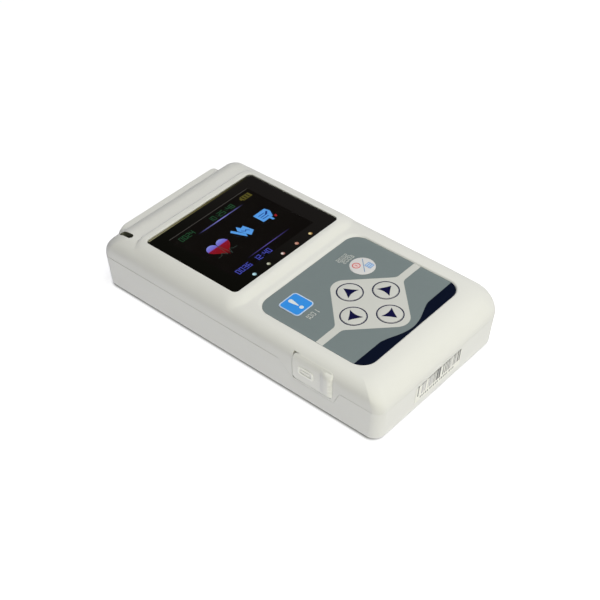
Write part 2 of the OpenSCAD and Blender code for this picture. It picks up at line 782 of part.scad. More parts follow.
module switch(k) {
  color(steel) translate([k[1][0], k[1][1], key_board_z + key_board_t]) {
    translate([-switch_w / 2, -switch_w / 2, 0]) cube([switch_w, switch_w, switch_h / 2]);
    cylinder(h = switch_h, r = dome_r);
  }
}

module lead_socket() {
  color([0.16, 0.17, 0.18]) difference() {
    socket_body(0, socket_y0, socket_face);
    along_y(socket_face - socket_d, socket_face + 1) translate([0, socket_z])
      plan(socket_w / 2, -socket_h / 2, socket_h / 2, socket_r, socket_r);
    for (i = [1:pin_count], s = [-1, 1]) pin(i, s, 0.01);
  }
}

module pin(i, s, g) {
  translate([(i - (pin_count + 1) / 2) * pin_pitch, socket_face - socket_d + pin_l,
    socket_z + s * pin_row / 2]) rotate([90, 0, 0])
      cylinder(h = pin_l + socket_back + pin_tail, r = pin_r + g, $fn = 24);
}

module lead_pins() {
  color([0.85, 0.68, 0.3]) for (i = [1:pin_count], s = [-1, 1]) pin(i, s, 0);
}

module port_shell() {
  color(steel) difference() {
    block(port_x0, port_x0 + port_d, port_yc - port_w / 2, port_yc + port_w / 2, port_z1 - port_h, port_z1);
    block(port_x0 - 1, port_x0 + port_d - 1, port_yc - port_w / 2 + port_t,
      port_yc + port_w / 2 - port_t, port_z1 - port_h + port_t, port_z1 - port_t);
  }
}

module port_tongue() {
  color([0.1, 0.1, 0.1]) block(port_x0 + 1, port_x0 + port_d - 1, port_yc - port_w / 2 + tongue_side,
    port_yc + port_w / 2 - tongue_side, port_zc - tongue_t / 2, port_zc + tongue_t / 2);
}

module battery(side) {
  y0 = bay_y0 + contact_t + cell_end_gap + (side < 0 ? spring_l : 0);
  flip = side < 0 ? 0 : 1;
  color([0.25, 0.45, 0.35])
    translate([side * cell_x, y0 + flip * cell_l, cell_z]) rotate([flip ? 90 : -90, 0, 0]) {
      cylinder(h = cell_l - cell_cap_h, r = cell_r);
      cylinder(h = cell_l, r = cell_cap_r);
    }
}

// Points of one ring of the spring's wire, at turn t, with the cone's foot at the origin
function wire_ring(t, h) =
  let (part = t / spring_turns, r = spring_r0 + (spring_r1 - spring_r0) * part,
    z = wire_r - wire_sink + (h - 2 * wire_r + wire_sink) * part)
  [for (j = [0:spring_sides - 1]) let (a = 360 * j / spring_sides, q = r + wire_r * cos(a))
    [q * cos(360 * t), q * sin(360 * t), z + wire_r * sin(a)]];

// Cone of wire that stands on its wide end
module coil_spring(h) {
  steps = spring_steps * spring_turns;
  n = spring_sides;
  rings = [for (i = [0:steps]) wire_ring(i / spring_steps, h)];
  polyhedron(points = [for (ring = rings) each ring],
    faces = concat([[for (j = [n - 1:-1:0]) j]], [[for (j = [0:n - 1]) steps * n + j]],
      [for (i = [0:steps - 1], j = [0:n - 1])
        [i * n + j, i * n + (j + 1) % n, (i + 1) * n + (j + 1) % n, (i + 1) * n + j]]));
}

// Spring and its contact plate for one cell, in the near wall or the far wall of the bay
module spring_contact(side, y, turn) {
  color(steel) {
    block(side * cell_x - contact_w / 2, side * cell_x + contact_w / 2, min(y, y + turn * contact_t),
      max(y, y + turn * contact_t), cell_z - contact_w / 2, cell_z + contact_w / 2);
    translate([side * cell_x, y + turn * contact_t, cell_z]) rotate([-turn * 90, 0, 0])
      coil_spring(spring_l);
  }
}

module battery_springs() {
  spring_contact(-1, bay_y0, 1);
  spring_contact(1, bay_y1, -1);
}

module battery_plate() {
  w = contact_w - 2;
  color(steel) {
    block(-cell_x - w / 2, -cell_x + w / 2, bay_y1 - contact_t, bay_y1, cell_z - w / 2, cell_z + w / 2);
    block(cell_x - w / 2, cell_x + w / 2, bay_y0, bay_y0 + contact_t, cell_z - w / 2, cell_z + w / 2);
  }
}

module battery_door() {
  color(case_white) {
    difference() {
      union() {
        block(-door_hw, door_hw, door_y0, door_axis_y, door_lift, door_z1);
        translate([-door_hw, door_axis_y, door_axis_z]) rotate([0, 90, 0])
          cylinder(h = 2 * door_hw, r = knuckle_r);
        for (s = [-1, 1]) {
          block(s * tab_x - tab_w / 2, s * tab_x + tab_w / 2, door_axis_y - tab_lift,
            door_axis_y + knuckle_r, door_axis_z, tab_z + tab_t);
          block(s * tab_x - tab_w / 2, s * tab_x + tab_w / 2, door_axis_y, door_axis_y + tab_reach,
            tab_z, tab_z + tab_t);
        }
      }
      // Finger ribs in a shallow hollow
      for (j = [0:rib_count - 1]) let (y = door_y0 + rib_margin + j * rib_pitch)
        block(-rib_l / 2, rib_l / 2, y, y + rib_w, 0, door_lift + rib_depth);
    }
  }
}

// Rubber skin flush with the side, a hinge bead at its far end, a plug behind it and a grip
module port_flap() {
  color(rubber_white) {
    intersection() {
      along_x(-half_w - 0.3, skin_x) flap_outline(0);
      along_y(flap_y0 - 1, hinge_y) flap_section();
    }
    post([hinge_x, hinge_y], bead_r, flap_z + flap_r, flap_z1 - flap_r);
    block(skin_x - 0.2, skin_x + plug_l, port_yc - port_w / 2 + plug_fit,
      port_yc + port_w / 2 - plug_fit, port_zc - port_h / 2 + plug_fit, port_zc + port_h / 2 - plug_gap);
    intersection() {
      along_x(-half_w - grip_t, skin_x)
        translate([flap_y0 + grip_margin + grip_l / 2, flap_z + flap_h / 2 - grip_drop])
          plan(grip_l / 2, -grip_h / 2, grip_h / 2, grip_r, grip_r);
      along_y(flap_y0 - 1, hinge_y) grip_section();
    }
  }
}

// Cross-section of the flap's skin, in x and z: its outside follows the side wall and its rounded edge
module flap_section() {
  steps = 24;
  polygon([for (i = [0:steps]) let (z = flap_z - 1 + (flap_h + 2) * i / steps)
      [flap_shift - side_x(z) + roll(z, deck_z, deck_edge_r, deck_edge_r), z],
    [flap_root - half_w, flap_z1 + 1], [flap_root - half_w, flap_z - 1]]);
}

// Cross-section of the finger grip, rounded off at its top
module grip_section() {
  top_z = flap_z1 - 1;
  translate([-half_w - grip_t, 0]) square([grip_top_r + flap_root, top_z - grip_top_r]);
  translate([-half_w - grip_t + grip_top_r, top_z - grip_top_r]) circle(grip_top_r);
  translate([-half_w - grip_t + grip_top_r, 0]) square([flap_root, top_z]);
}

module case_screw(i) {
  color(steel) difference() {
    union() {
      post(SCREWS[i - 1], screw_head_r, screw_sink - screw_head_h, screw_sink);
      post(SCREWS[i - 1], screw_r - thread_fit, screw_sink - eps, screw_z1);
    }
    translate([SCREWS[i - 1][0], SCREWS[i - 1][1], 0]) for (a = [0, 90]) rotate(a)
      translate([-slot_l / 2, -slot_w / 2, 0])
        cube([slot_l, slot_w, screw_sink - screw_head_h + slot_depth]);
  }
}

module lamp(i) {
  color([0.9, 0.9, 0.85]) post([lamp_x(i), lamp_y], lamp_r, display_z0, mask_z - 0.02);
}

module end_label() {
  color([0.93, 0.93, 0.91]) translate([label_x, near_wall(label_z) - label_glue, label_z])
    rotate([atan(near_draft), 0, 0]) translate([-label_w / 2, -label_t, 0])
      cube([label_w, label_t, label_h]);
}

bottom_cover();
top_cover();
window_lens();
window_mask();
display_glass();
display_frame();
main_board();
key_board();
keypad_sheet();
lead_socket();
lead_pins();
port_shell();
port_tongue();
battery(-1);  // battery_1
battery(1);  // battery_2
battery_springs();
battery_plate();
end_label();
battery_door();
port_flap();
for (k = KEYS) {
  key(k);
  switch(k);
}
for (i = [1:lamp_count]) lamp(i);
for (i = [1:4]) case_screw(i);
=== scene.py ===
"""Looks of a hand-held ECG home monitor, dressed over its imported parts. Shapes are made in
millimetres, in the frame of the parts, and become metres when a piece is finished."""
import json
import math

import bmesh
import bpy
from mathutils import Matrix, Vector

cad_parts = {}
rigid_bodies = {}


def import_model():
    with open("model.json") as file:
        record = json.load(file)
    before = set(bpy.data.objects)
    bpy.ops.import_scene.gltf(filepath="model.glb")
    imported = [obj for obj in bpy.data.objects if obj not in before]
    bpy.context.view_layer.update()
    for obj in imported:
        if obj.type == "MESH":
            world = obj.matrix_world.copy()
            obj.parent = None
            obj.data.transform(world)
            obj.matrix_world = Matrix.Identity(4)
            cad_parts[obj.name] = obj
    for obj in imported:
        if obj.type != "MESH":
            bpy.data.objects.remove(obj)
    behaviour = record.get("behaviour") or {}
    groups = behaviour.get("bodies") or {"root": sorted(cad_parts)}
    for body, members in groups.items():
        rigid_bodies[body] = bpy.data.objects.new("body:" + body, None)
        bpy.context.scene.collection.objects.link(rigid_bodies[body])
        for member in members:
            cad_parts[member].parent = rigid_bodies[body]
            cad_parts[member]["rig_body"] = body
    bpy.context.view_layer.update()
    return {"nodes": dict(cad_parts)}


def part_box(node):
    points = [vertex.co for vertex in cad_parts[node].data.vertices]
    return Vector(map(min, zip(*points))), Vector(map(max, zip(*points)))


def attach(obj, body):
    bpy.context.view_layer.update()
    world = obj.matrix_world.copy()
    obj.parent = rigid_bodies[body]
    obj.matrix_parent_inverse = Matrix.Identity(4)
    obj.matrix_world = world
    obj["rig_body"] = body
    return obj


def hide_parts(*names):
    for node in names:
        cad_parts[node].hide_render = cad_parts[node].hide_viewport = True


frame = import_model()
nodes = frame["nodes"]

MM = 0.001


def reach(node):
    """Lowest and highest corner of a part, in millimetres."""
    low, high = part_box(node)
    return low / MM, high / MM


def middle(node):
    """Middle of a part in plan, in millimetres."""
    low, high = reach(node)
    return (low.x + high.x) / 2, (low.y + high.y) / 2


def dress(paint, *names):
    """Gives a material to parts that are shown in their own shape."""
    for name in names:
        nodes[name].data.materials.clear()
        nodes[name].data.materials.append(paint)


def placed(name, data):
    """New object in the scene."""
    thing = bpy.data.objects.new(name, data)
    bpy.context.scene.collection.objects.link(thing)
    return thing


# ------------------------------------------------------------------ shader groups

def new_group(name, inputs, outputs):
    """Empty shader group with named sockets; its inputs and outputs as nodes."""
    group = bpy.data.node_groups.new(name, "ShaderNodeTree")
    for label, kind, value in inputs:
        socket = group.interface.new_socket(label, in_out="INPUT", socket_type=kind)
        socket.default_value = value
    for label, kind in outputs:
        group.interface.new_socket(label, in_out="OUTPUT", socket_type=kind)
    return group, group.nodes.new("NodeGroupInput"), group.nodes.new("NodeGroupOutput")


class Wiring:
    """Short hand for placing nodes and links in one tree."""

    def __init__(self, tree):
        self.tree = tree

    def put(self, kind, links=(), **values):
        node = self.tree.nodes.new("ShaderNode" + kind)
        for key, value in values.items():
            setattr(node, key, value)
        for socket, source in dict(links).items():
            self.feed(node.inputs[socket], source)
        return node

    def feed(self, socket, source):
        if isinstance(source, bpy.types.NodeSocket):
            self.tree.links.new(source, socket)
        else:
            socket.default_value = source

    def maths(self, operation, a, b=0.0):
        return self.put("Math", {0: a, 1: b}, operation=operation).outputs[0]

    def vector_maths(self, operation, a, b=(0.0, 0.0, 0.0), output="Vector"):
        return self.put("VectorMath", {0: a, 1: b}, operation=operation).outputs[output]

    def mix(self, factor, a, b, blend="MIX"):
        node = self.put("Mix", data_type="RGBA", blend_type=blend)
        for socket, source in zip((0, 6, 7), (factor, a, b)):
            self.feed(node.inputs[socket], source)
        return node.outputs[2]

    def ramp(self, factor, stops, smooth=True):
        node = self.put("ValToRGB", {0: factor})
        node.color_ramp.interpolation = "EASE" if smooth else "LINEAR"
        points = node.color_ramp.elements
        while len(points) < len(stops):
            points.new(0.5)
        for point, (place, tone) in zip(points, stops):
            point.position = place
            point.color = (tone, tone, tone, 1) if isinstance(tone, float) else (*tone, 1)
        return node.outputs[0]

    def here(self):
        return self.put("TexCoord").outputs["Object"]

    def place(self, axis):
        """One coordinate, in metres, of the point that is shaded."""
        return self.put("SeparateXYZ", {0: self.here()}).outputs[axis]

    def noise(self, scale, detail=2.0, rough=0.5, vector=None):
        return self.put("TexNoise", {"Vector": vector or self.here(), "Scale": scale,
                                     "Detail": detail, "Roughness": rough}).outputs["Fac"]

    def span(self, value, low, high, start=0.0, end=1.0):
        return self.put("MapRange", {0: value, 1: low, 2: high, 3: start, 4: end}).outputs[0]


SURFACE = [("Colour", "NodeSocketColor"), ("Roughness", "NodeSocketFloat"),
           ("Height", "NodeSocketFloat")]


def moulded_group():
    """Injection moulded or cast surface: fine grain, faint cloudiness and uneven sheen."""
    group, given, out = new_group(
        "moulded surface",
        [("Tone", "NodeSocketColor", (0.8, 0.8, 0.8, 1)), ("Grain", "NodeSocketFloat", 2600.0),
         ("Clouds", "NodeSocketFloat", 0.04), ("Sheen", "NodeSocketFloat", 0.45)], SURFACE)
    w = Wiring(group)
    cloud = w.noise(55.0, 3.0)
    speck = w.noise(900.0, 2.0)
    shade = w.maths("ADD", w.maths("MULTIPLY", cloud, 0.7), w.maths("MULTIPLY", speck, 0.3))
    darker = w.maths("SUBTRACT", 1.0, w.maths("MULTIPLY", given.outputs["Clouds"], shade))
    w.feed(out.inputs["Colour"], w.mix(1.0, given.outputs["Tone"], darker, "MULTIPLY"))
    grain = w.noise(given.outputs["Grain"], 3.0, 0.6)
    sheen = w.maths("ADD", given.outputs["Sheen"],
                    w.maths("MULTIPLY", w.maths("SUBTRACT", cloud, 0.5), 0.16))
    w.feed(out.inputs["Roughness"],
           w.maths("ADD", sheen, w.maths("MULTIPLY", w.maths("SUBTRACT", grain, 0.5), 0.1)))
    w.feed(out.inputs["Height"], grain)
    return group


def film_group():
    """Screen printed polyester film: even matt tooth, with ink a little uneven."""
    group, given, out = new_group(
        "printed film",
        [("Ink", "NodeSocketColor", (0.5, 0.5, 0.5, 1)), ("Unevenness", "NodeSocketFloat", 0.05)],
        SURFACE)
    w = Wiring(group)
    tooth = w.put("TexVoronoi", {"Vector": w.here(), "Scale": 3800.0}, feature="SMOOTH_F1")
    cover = w.noise(160.0, 4.0, 0.6)
    fade = w.maths("SUBTRACT", 1.0, w.maths("MULTIPLY", given.outputs["Unevenness"], cover))
    w.feed(out.inputs["Colour"], w.mix(1.0, given.outputs["Ink"], fade, "MULTIPLY"))
    w.feed(out.inputs["Roughness"], w.span(cover, 0.3, 0.7, 0.42, 0.55))
    w.feed(out.inputs["Height"], tooth.outputs["Distance"])
    return group


def drawn_metal_group():
    """Plated or rolled metal: fine streaks along one direction and a few stains."""
    group, given, out = new_group(
        "drawn metal",
        [("Metal", "NodeSocketColor", (0.7, 0.7, 0.7, 1)),
         ("Stretch", "NodeSocketVector", (1.0, 12.0, 1.0))], SURFACE)
    w = Wiring(group)
    streak = w.noise(900.0, 4.0, 0.6,
                     w.vector_maths("MULTIPLY", w.here(), given.outputs["Stretch"]))
    stain = w.noise(220.0, 3.0)
    fade = w.span(stain, 0.35, 0.75, 1.0, 0.86)
    w.feed(out.inputs["Colour"], w.mix(1.0, given.outputs["Metal"], fade, "MULTIPLY"))
    w.feed(out.inputs["Roughness"], w.span(streak, 0.3, 0.7, 0.2, 0.38))
    w.feed(out.inputs["Height"], streak)
    return group


# Pitch of the display's dots, in millimetres
DOT_PITCH = 0.34


def screen_group():
    """Dots of a liquid crystal display: a brightness mask over a lit picture."""
    group, given, out = new_group(
        "display dots", [("Light", "NodeSocketColor", (1, 1, 1, 1))],
        [("Colour", "NodeSocketColor")])
    w = Wiring(group)
    waves = [w.maths("SINE", w.maths("MULTIPLY", w.place(axis), 2 * math.pi / (DOT_PITCH * MM)))
             for axis in (0, 1)]
    mask = w.span(w.maths("MULTIPLY", *waves), -1.0, 1.0, 0.82, 1.0)
    w.feed(out.inputs["Colour"], w.mix(1.0, given.outputs["Light"], mask, "MULTIPLY"))
    return group


MOULDED, FILM, METAL, DOTS = moulded_group(), film_group(), drawn_metal_group(), screen_group()


# ------------------------------------------------------------------ materials

def start_material(name, group=None, given=(), bump=0.0, depth=0.02, **sockets):
    """Material with a Principled shader whose varied sockets come from one effect group."""
    material = bpy.data.materials.new(name)
    material.use_nodes = True
    w = Wiring(material.node_tree)
    shader = material.node_tree.nodes["Principled BSDF"]
    for label, value in sockets.items():
        shader.inputs[label.replace("_", " ")].default_value = value
    if group:
        effect = w.put("Group", node_tree=group)
        for label, value in dict(given).items():
            w.feed(effect.inputs[label], value)
        w.feed(shader.inputs["Base Color"], effect.outputs["Colour"])
        w.feed(shader.inputs["Roughness"], effect.outputs["Roughness"])
        if bump:
            lift = w.put("Bump", {"Strength": bump, "Distance": depth * MM,
                                  "Height": effect.outputs["Height"]})
            w.feed(shader.inputs["Normal"], lift.outputs["Normal"])
    return material, w, shader


def moulded(name, tone, sheen, grain=2600.0, clouds=0.04, bump=0.25, depth=0.03, **sockets):
    """Moulded or cast plastic, rubber or coated paper."""
    given = {"Tone": (*tone, 1), "Grain": grain, "Clouds": clouds, "Sheen": sheen}
    return start_material(name, MOULDED, given, bump, depth, **sockets)[0]


def ink(name, tone, uneven=0.05, **sockets):
    """Printed film, or ink on it."""
    given = {"Ink": (*tone, 1), "Unevenness": uneven}
    return start_material(name, FILM, given, 0.12, 0.02, **sockets)[0]


def metal(name, tone, stretch=(1.0, 12.0, 1.0)):
    """Plated metal with streaks along the least stretched direction."""
    given = {"Metal": (*tone, 1), "Stretch": stretch}
    return start_material(name, METAL, given, 0.15, 0.01, Metallic=1.0)[0]


def unlit(name, strength):
    """Start of a surface under the window: dark by itself, seen by its own light, which is the
    display's backlight, and painted light for the window's edge strip and the lamps' highlights.
    """
    return start_material(name, Base_Color=(0.002, 0.002, 0.002, 1), Roughness=0.9,
                          Specular_IOR_Level=0.0, Emission_Strength=strength)


def through_dots(w, shader, light):
    """Lights a surface through the dots of the display."""
    dots = w.put("Group", {"Light": light}, node_tree=DOTS)
    w.feed(shader.inputs["Emission Color"], dots.outputs["Colour"])


def glowing(name, light, strength):
    """Part of the lit picture on the display."""
    material, w, shader = unlit(name, strength)
    through_dots(w, shader, (*light, 1))
    return material


case_white = moulded("case white", (0.772, 0.772, 0.771), 0.56, Specular_IOR_Level=0.35)
# Painted shade for the walls down inside the lanyard slot
slot_shade = moulded("slot shade", (0.20, 0.20, 0.17), 0.7)
flap_rubber = moulded("flap rubber", (0.82, 0.82, 0.81), 0.55, 1800.0, 0.05, 0.3, 0.04)
flap_mark = moulded("flap mark", (0.96, 0.96, 0.94), 0.5, 1800.0, 0.03, 0.2, 0.04)
socket_black = moulded("socket black", (0.03, 0.031, 0.033), 0.4, 2200.0, 0.3, 0.3, 0.04)
tongue_black = moulded("tongue black", (0.02, 0.02, 0.02), 0.35, 3000.0, 0.2)
film_grey = ink("film grey", (0.200, 0.241, 0.258))
film_pale = ink("film off-white", (0.635, 0.64, 0.635))
film_navy = ink("film navy", (0.0045, 0.0075, 0.0225), 0.3, Specular_IOR_Level=0.12)
print_navy = ink("print navy", (0.007, 0.007, 0.055), 0.2, Specular_IOR_Level=0.12)
figure_grey = ink("figure grey", (0.66, 0.68, 0.68))
key_white = ink("key white", (0.71, 0.70, 0.735))
key_border = ink("key border", (0.57, 0.70, 0.94))
key_blue = ink("key blue", (0.044, 0.30, 0.88))
mark_white = ink("mark white", (0.74, 0.80, 0.86))
power_red = ink("power red", (0.66, 0.12, 0.13))
power_pink = ink("power pink", (0.78, 0.60, 0.62))
slash_blue = ink("slash blue", (0.13, 0.27, 0.48))
page_blue = ink("page blue", (0.18, 0.36, 0.70))
page_fill = ink("page fill", (0.52, 0.64, 0.84))
steel = metal("plated steel", (0.62, 0.63, 0.64))
spring_steel = metal("spring steel", (0.58, 0.58, 0.57), (6.0, 6.0, 6.0))
gilt = metal("gilt", (0.83, 0.62, 0.27), (1.0, 8.0, 1.0))
# Black mask print under the window, with painted sheen: a faint glow, brighter towards +x, stands
# in for the light that would fall on it
mask_print_painted_sheen, w, shader = start_material("mask print with painted sheen", Base_Color=(0.004, 0.004, 0.003, 1),
                                       Roughness=0.6, Specular_IOR_Level=0.0,
                                       Emission_Strength=1.0)
w.feed(shader.inputs["Emission Color"],
       w.ramp(w.span(w.place(0), -30 * MM, 30 * MM),
              [(0.0, (0.0036, 0.0036, 0.0025)), (1.0, (0.0112, 0.0098, 0.0090))]))


# ------------------------------------------------------------------ shaping

def put_piece(name, bm, paint, body="case", stands_for=(), crease=32.0):
    """Finishes a mesh in millimetres as a piece in metres that rides on a body."""
    bmesh.ops.remove_doubles(bm, verts=bm.verts, dist=0.0004)
    bmesh.ops.recalc_face_normals(bm, faces=bm.faces)
    for face in bm.faces:
        face.smooth = True
    for edge in bm.edges:
        edge.smooth = edge.calc_face_angle(0.0) < math.radians(crease)
    bm.transform(Matrix.Scale(MM, 4))
    mesh = bpy.data.meshes.new(name)
    bm.to_mesh(mesh)
    bm.free()
    mesh.materials.append(paint)
    piece = placed(name, mesh)
    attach(piece, body)
    if stands_for:
        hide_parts(*stands_for)
    return piece


def merged_copy(node):
    """A part's own mesh with its loose triangles joined, in millimetres."""
    bm = bmesh.new()
    bm.from_mesh(nodes[node].data)
    bm.transform(Matrix.Scale(1 / MM, 4))
    bmesh.ops.remove_doubles(bm, verts=bm.verts, dist=0.002)
    bmesh.ops.dissolve_degenerate(bm, dist=0.0005, edges=bm.edges)
    return bm


def arc(cx, cy, r, start, end, steps):
    """Points on an arc, angles in degrees."""
    turns = [math.radians(start + (end - start) * i / steps) for i in range(steps + 1)]
    return [(cx + r * math.cos(a), cy + r * math.sin(a)) for a in turns]


def rounded_path(corners):
    """Outline from corners (x, y, radius), each rounded off outwards or inwards."""
    path = []
    count = len(corners)
    for i, (x, y, radius) in enumerate(corners):
        here = Vector((x, y))
        if not radius:
            path.append((x, y))
            continue
        back = (Vector(corners[i - 1][:2]) - here).normalized()
        ahead = (Vector(corners[(i + 1) % count][:2]) - here).normalized()
        half = back.angle(ahead) / 2
        cut = radius / math.tan(half)
        centre = here + (back + ahead).normalized() * (radius / math.sin(half))
        start, end = here + back * cut - centre, here + ahead * cut - centre
        turn = math.atan2(start.x * end.y - start.y * end.x, start.dot(end))
        first = math.atan2(start.y, start.x)
        for step in range(9):
            a = first + turn * step / 8
            path.append((centre.x + radius * math.cos(a), centre.y + radius * math.sin(a)))
    return path


def rounded_box(x0, x1, y0, y1, r=0):
    return rounded_path([(x0, y0, r), (x1, y0, r), (x1, y1, r), (x0, y1, r)])


def disc(x, y, r, steps=64):
    return arc(x, y, r, 0, 360 * (steps - 1) / steps, steps - 1)


def verts_of(made):
    """Vertices among what an operator made."""
    return [v for v in made["geom"] if isinstance(v, bmesh.types.BMVert)]


def open_edges_of(made):
    """Edges with one face among what an operator made."""
    return [e for e in made["geom"] if isinstance(e, bmesh.types.BMEdge) and e.is_boundary]


def edges_among(bm, verts):
    """Edges that join any two of the vertices."""
    chosen = set(verts)
    return [e for e in bm.edges if e.verts[0] in chosen and e.verts[1] in chosen]


def soften(bm, edges, offset):
    """Rounds edges off in three steps."""
    bmesh.ops.bevel(bm, geom=edges, offset=offset, offset_type="OFFSET", segments=3,
                    profile=0.5, affect="EDGES", material=-1)


def add_slab(bm, outline, z0, z1, rim=0.0):
    """Plate of any outline between two heights, its top edge softened by rim."""
    face = bm.faces.new([bm.verts.new((x, y, z0)) for x, y in outline])
    made = bmesh.ops.extrude_face_region(bm, geom=[face])
    top = verts_of(made)
    bmesh.ops.translate(bm, verts=top, vec=(0, 0, z1 - z0))
    if rim:
        soften(bm, edges_among(bm, top), rim)
    return bm


def add_ring(bm, x, y, r_in, r_out, z0, z1, steps=72):
    """Flat ring: two circles, bridged and raised."""
    edges = []
    for r in (r_in, r_out):
        made = bmesh.ops.create_circle(bm, segments=steps, radius=r,
                                       matrix=Matrix.Translation((x, y, z0)))
        edges += list({e for v in made["verts"] for e in v.link_edges})
    faces = bmesh.ops.bridge_loops(bm, edges=edges)["faces"]
    made = bmesh.ops.extrude_face_region(bm, geom=faces)
    bmesh.ops.translate(bm, verts=verts_of(made), vec=(0, 0, z1 - z0))
    return bm


def add_bar(bm, start, end, width, z0, z1):
    """Straight stroke between two points."""
    a, b = Vector(start), Vector(end)
    side = (b - a).normalized().orthogonal() * (width / 2)
    return add_slab(bm, [tuple(c) for c in (a - side, b - side, b + side, a + side)], z0, z1)


# Thickness of printed ink
INK = 0.02


def print_on(name, outlines, paint, z, body="case"):
    """Ink on a flat face at height z, sunk a hair into it."""
    bm = bmesh.new()
    for outline in outlines:
        add_slab(bm, outline, z - INK / 2, z + INK)
    return put_piece(name, bm, paint, body)


# Strokes of a digit on a box one wide and two high
SEGMENTS = {"a": ((0, 2), (1, 2)), "b": ((1, 1), (1, 2)), "c": ((1, 0), (1, 1)),
            "d": ((0, 0), (1, 0)), "e": ((0, 0), (0, 1)), "f": ((0, 1), (0, 2)),
            "g": ((0, 1), (1, 1))}
DIGITS = {"0": "abcdef", "1": "bc", "2": "abged", "3": "abgcd", "4": "fgbc", "5": "afgcd",
          "6": "afgedc", "7": "abc", "8": "abcdefg", "9": "abcdfg"}
# Dots of a colon on that box, and how far a digit and a colon move the next one on
COLON_X, COLON_Y = 0.35, (0.55, 1.45)
DIGIT_PITCH, COLON_PITCH = 1.62, 1.05


def number_strokes(text, x, y, height, stroke, width=1.0):
    """Outlines of plain figures whose lower left corner is at x, y."""
    outlines = []
    step = height / 2
    wide = step * width
    for mark in text:
        if mark == ":":
            lines = [((COLON_X, up), (COLON_X, up)) for up in COLON_Y]
        else:
            lines = [SEGMENTS[part] for part in DIGITS[mark]]
        for (ax, ay), (bx, by) in lines:
            outlines.append(rounded_box(
                x + wide * min(ax, bx) - stroke / 2, x + wide * max(ax, bx) + stroke / 2,
                y + step * min(ay, by) - stroke / 2, y + step * max(ay, by) + stroke / 2))
        x += wide * (COLON_PITCH if mark == ":" else DIGIT_PITCH)
    return outlines


def add_loft(bm, levels):
    """Closed solid through outlines of equal length, given as (points, z) from bottom to top."""
    rings = [[bm.verts.new((x, y, z)) for x, y in points] for points, z in levels]
    loops = []
    for ring in rings:
        loops.append([bm.edges.new((a, b)) for a, b in zip(ring, ring[1:] + ring[:1])])
    for low, high in zip(loops, loops[1:]):
        bmesh.ops.bridge_loops(bm, edges=low + high)
    for end in (loops[0], loops[-1]):
        bmesh.ops.contextual_create(bm, geom=end)
    return bm


def solid(outline, low, high, along="z", rim=0.0):
    """Prism from an outline in plan, or from one in y and z (x and z) that runs along x (y)."""
    bm = add_slab(bmesh.new(), outline, low, high, rim)
    if along == "x":
        bm.transform(Matrix(((0, 0, 1, 0), (1, 0, 0, 0), (0, 1, 0, 0), (0, 0, 0, 1))))
    elif along == "y":
        bm.transform(Matrix(((1, 0, 0, 0), (0, 0, 1, 0), (0, 1, 0, 0), (0, 0, 0, 1))))
    bm.normal_update()
    return bm


def cuboid(x0, x1, y0, y1, z0, z1):
    return solid(rounded_box(x0, x1, y0, y1), z0, z1)


def rod(x, y, r, z0, z1, steps=40):
    return solid(disc(x, y, r, steps), z0, z1)


def turned(profile, x, y, steps):
    """Solid of revolution about the upright line at x, y, from radii and heights."""
    bm = bmesh.new()
    chain = [bm.verts.new((r, 0, z)) for r, z in profile]
    line = [bm.edges.new(pair) for pair in zip(chain, chain[1:])]
    bmesh.ops.spin(bm, geom=chain + line, cent=(0, 0, 0), axis=(0, 0, 1), angle=2 * math.pi,
                   steps=steps, use_merge=True, use_duplicate=False)
    bmesh.ops.translate(bm, verts=bm.verts, vec=(x, y, 0))
    return bm


def gather(*parts):
    """Several meshes in one."""
    whole = bmesh.new()
    for part in parts:
        mesh = bpy.data.meshes.new("part")
        bmesh.ops.recalc_face_normals(part, faces=part.faces)
        part.to_mesh(mesh)
        part.free()
        whole.from_mesh(mesh)
        bpy.data.meshes.remove(mesh)
    return whole


def carve(bm, tool, operation="DIFFERENCE"):
    """Cuts a tool out of a mesh, or joins it on; both are used up."""
    things = []
    for part in (bm, tool):
        mesh = bpy.data.meshes.new("work")
        part.normal_update()
        bmesh.ops.recalc_face_normals(part, faces=part.faces)
        part.to_mesh(mesh)
        part.free()
        things.append(placed("work", mesh))
    step = things[0].modifiers.new("carve", "BOOLEAN")
    step.operation, step.solver, step.object = operation, "EXACT", things[1]
    result = bmesh.new()
    result.from_object(things[0], bpy.context.evaluated_depsgraph_get())
    for thing in things:
        mesh = thing.data
        bpy.data.objects.remove(thing)
        bpy.data.meshes.remove(mesh)
    bmesh.ops.remove_doubles(result, verts=result.verts, dist=0.0004)
    return result


# ------------------------------------------------------------------ form of the case

# Half width, ends, seam, foot of the top half, and heights of the pad, keypad deck and far band
HALF_W, END_Y = 37.5, 69.7
SEAM, TOP_FOOT = 14.75, 14.85
PAD_Z = 24.8
DECK_Z, BAND_Z = PAD_Z - 1.95, PAD_Z - 1.0
# Lean of the walls: sides, near end and far end
SIDE_LEAN, NEAR_LEAN, FAR_LEAN = 0.03, 0.09, 0.07
# Corners in plan: near right, near left by the port, both far ones, the ridge and the pad's far end
NEAR_R, PORT_R, FAR_R, RIDGE_R, PAD_FAR_R = 9.4, 4.4, 4.7, 6.0, 4.0
# How far the rounded top edges draw in, and how high the one at the near end rises
DECK_EDGE, BAND_EDGE, PAD_EDGE = 4.9, 6.3, 7.9
NEAR_RUN, NEAR_RISE, FAR_EDGE = 11.0, 7.5, 8.7
# Slope from the deck to the pad, and the pad's rounded step down to the far band
RIDGE_Y, RIDGE_RUN = -0.7, 3.1
PAD_FAR_Y, PAD_STEP = 55.3, 1.1
# Soft curve where two forms meet, and how far the top half's foot drops at the near end
SOFT, NEAR_SEAM = 0.9, 0.13


def side_x(z):
    """Half width of the case at height z."""
    return HALF_W - SIDE_LEAN * abs(z - SEAM)


def near_wall(z):
    return -END_Y + NEAR_LEAN * abs(z - SEAM)


def far_wall(z):
    return END_Y - FAR_LEAN * abs(z - SEAM)


def roll(z, top, run, rise):
    """How far a rounded edge has drawn in at height z."""
    up = min(1.0, max(0.0, (z - top + rise) / rise))
    return run * (1 - math.sqrt(1 - up * up))


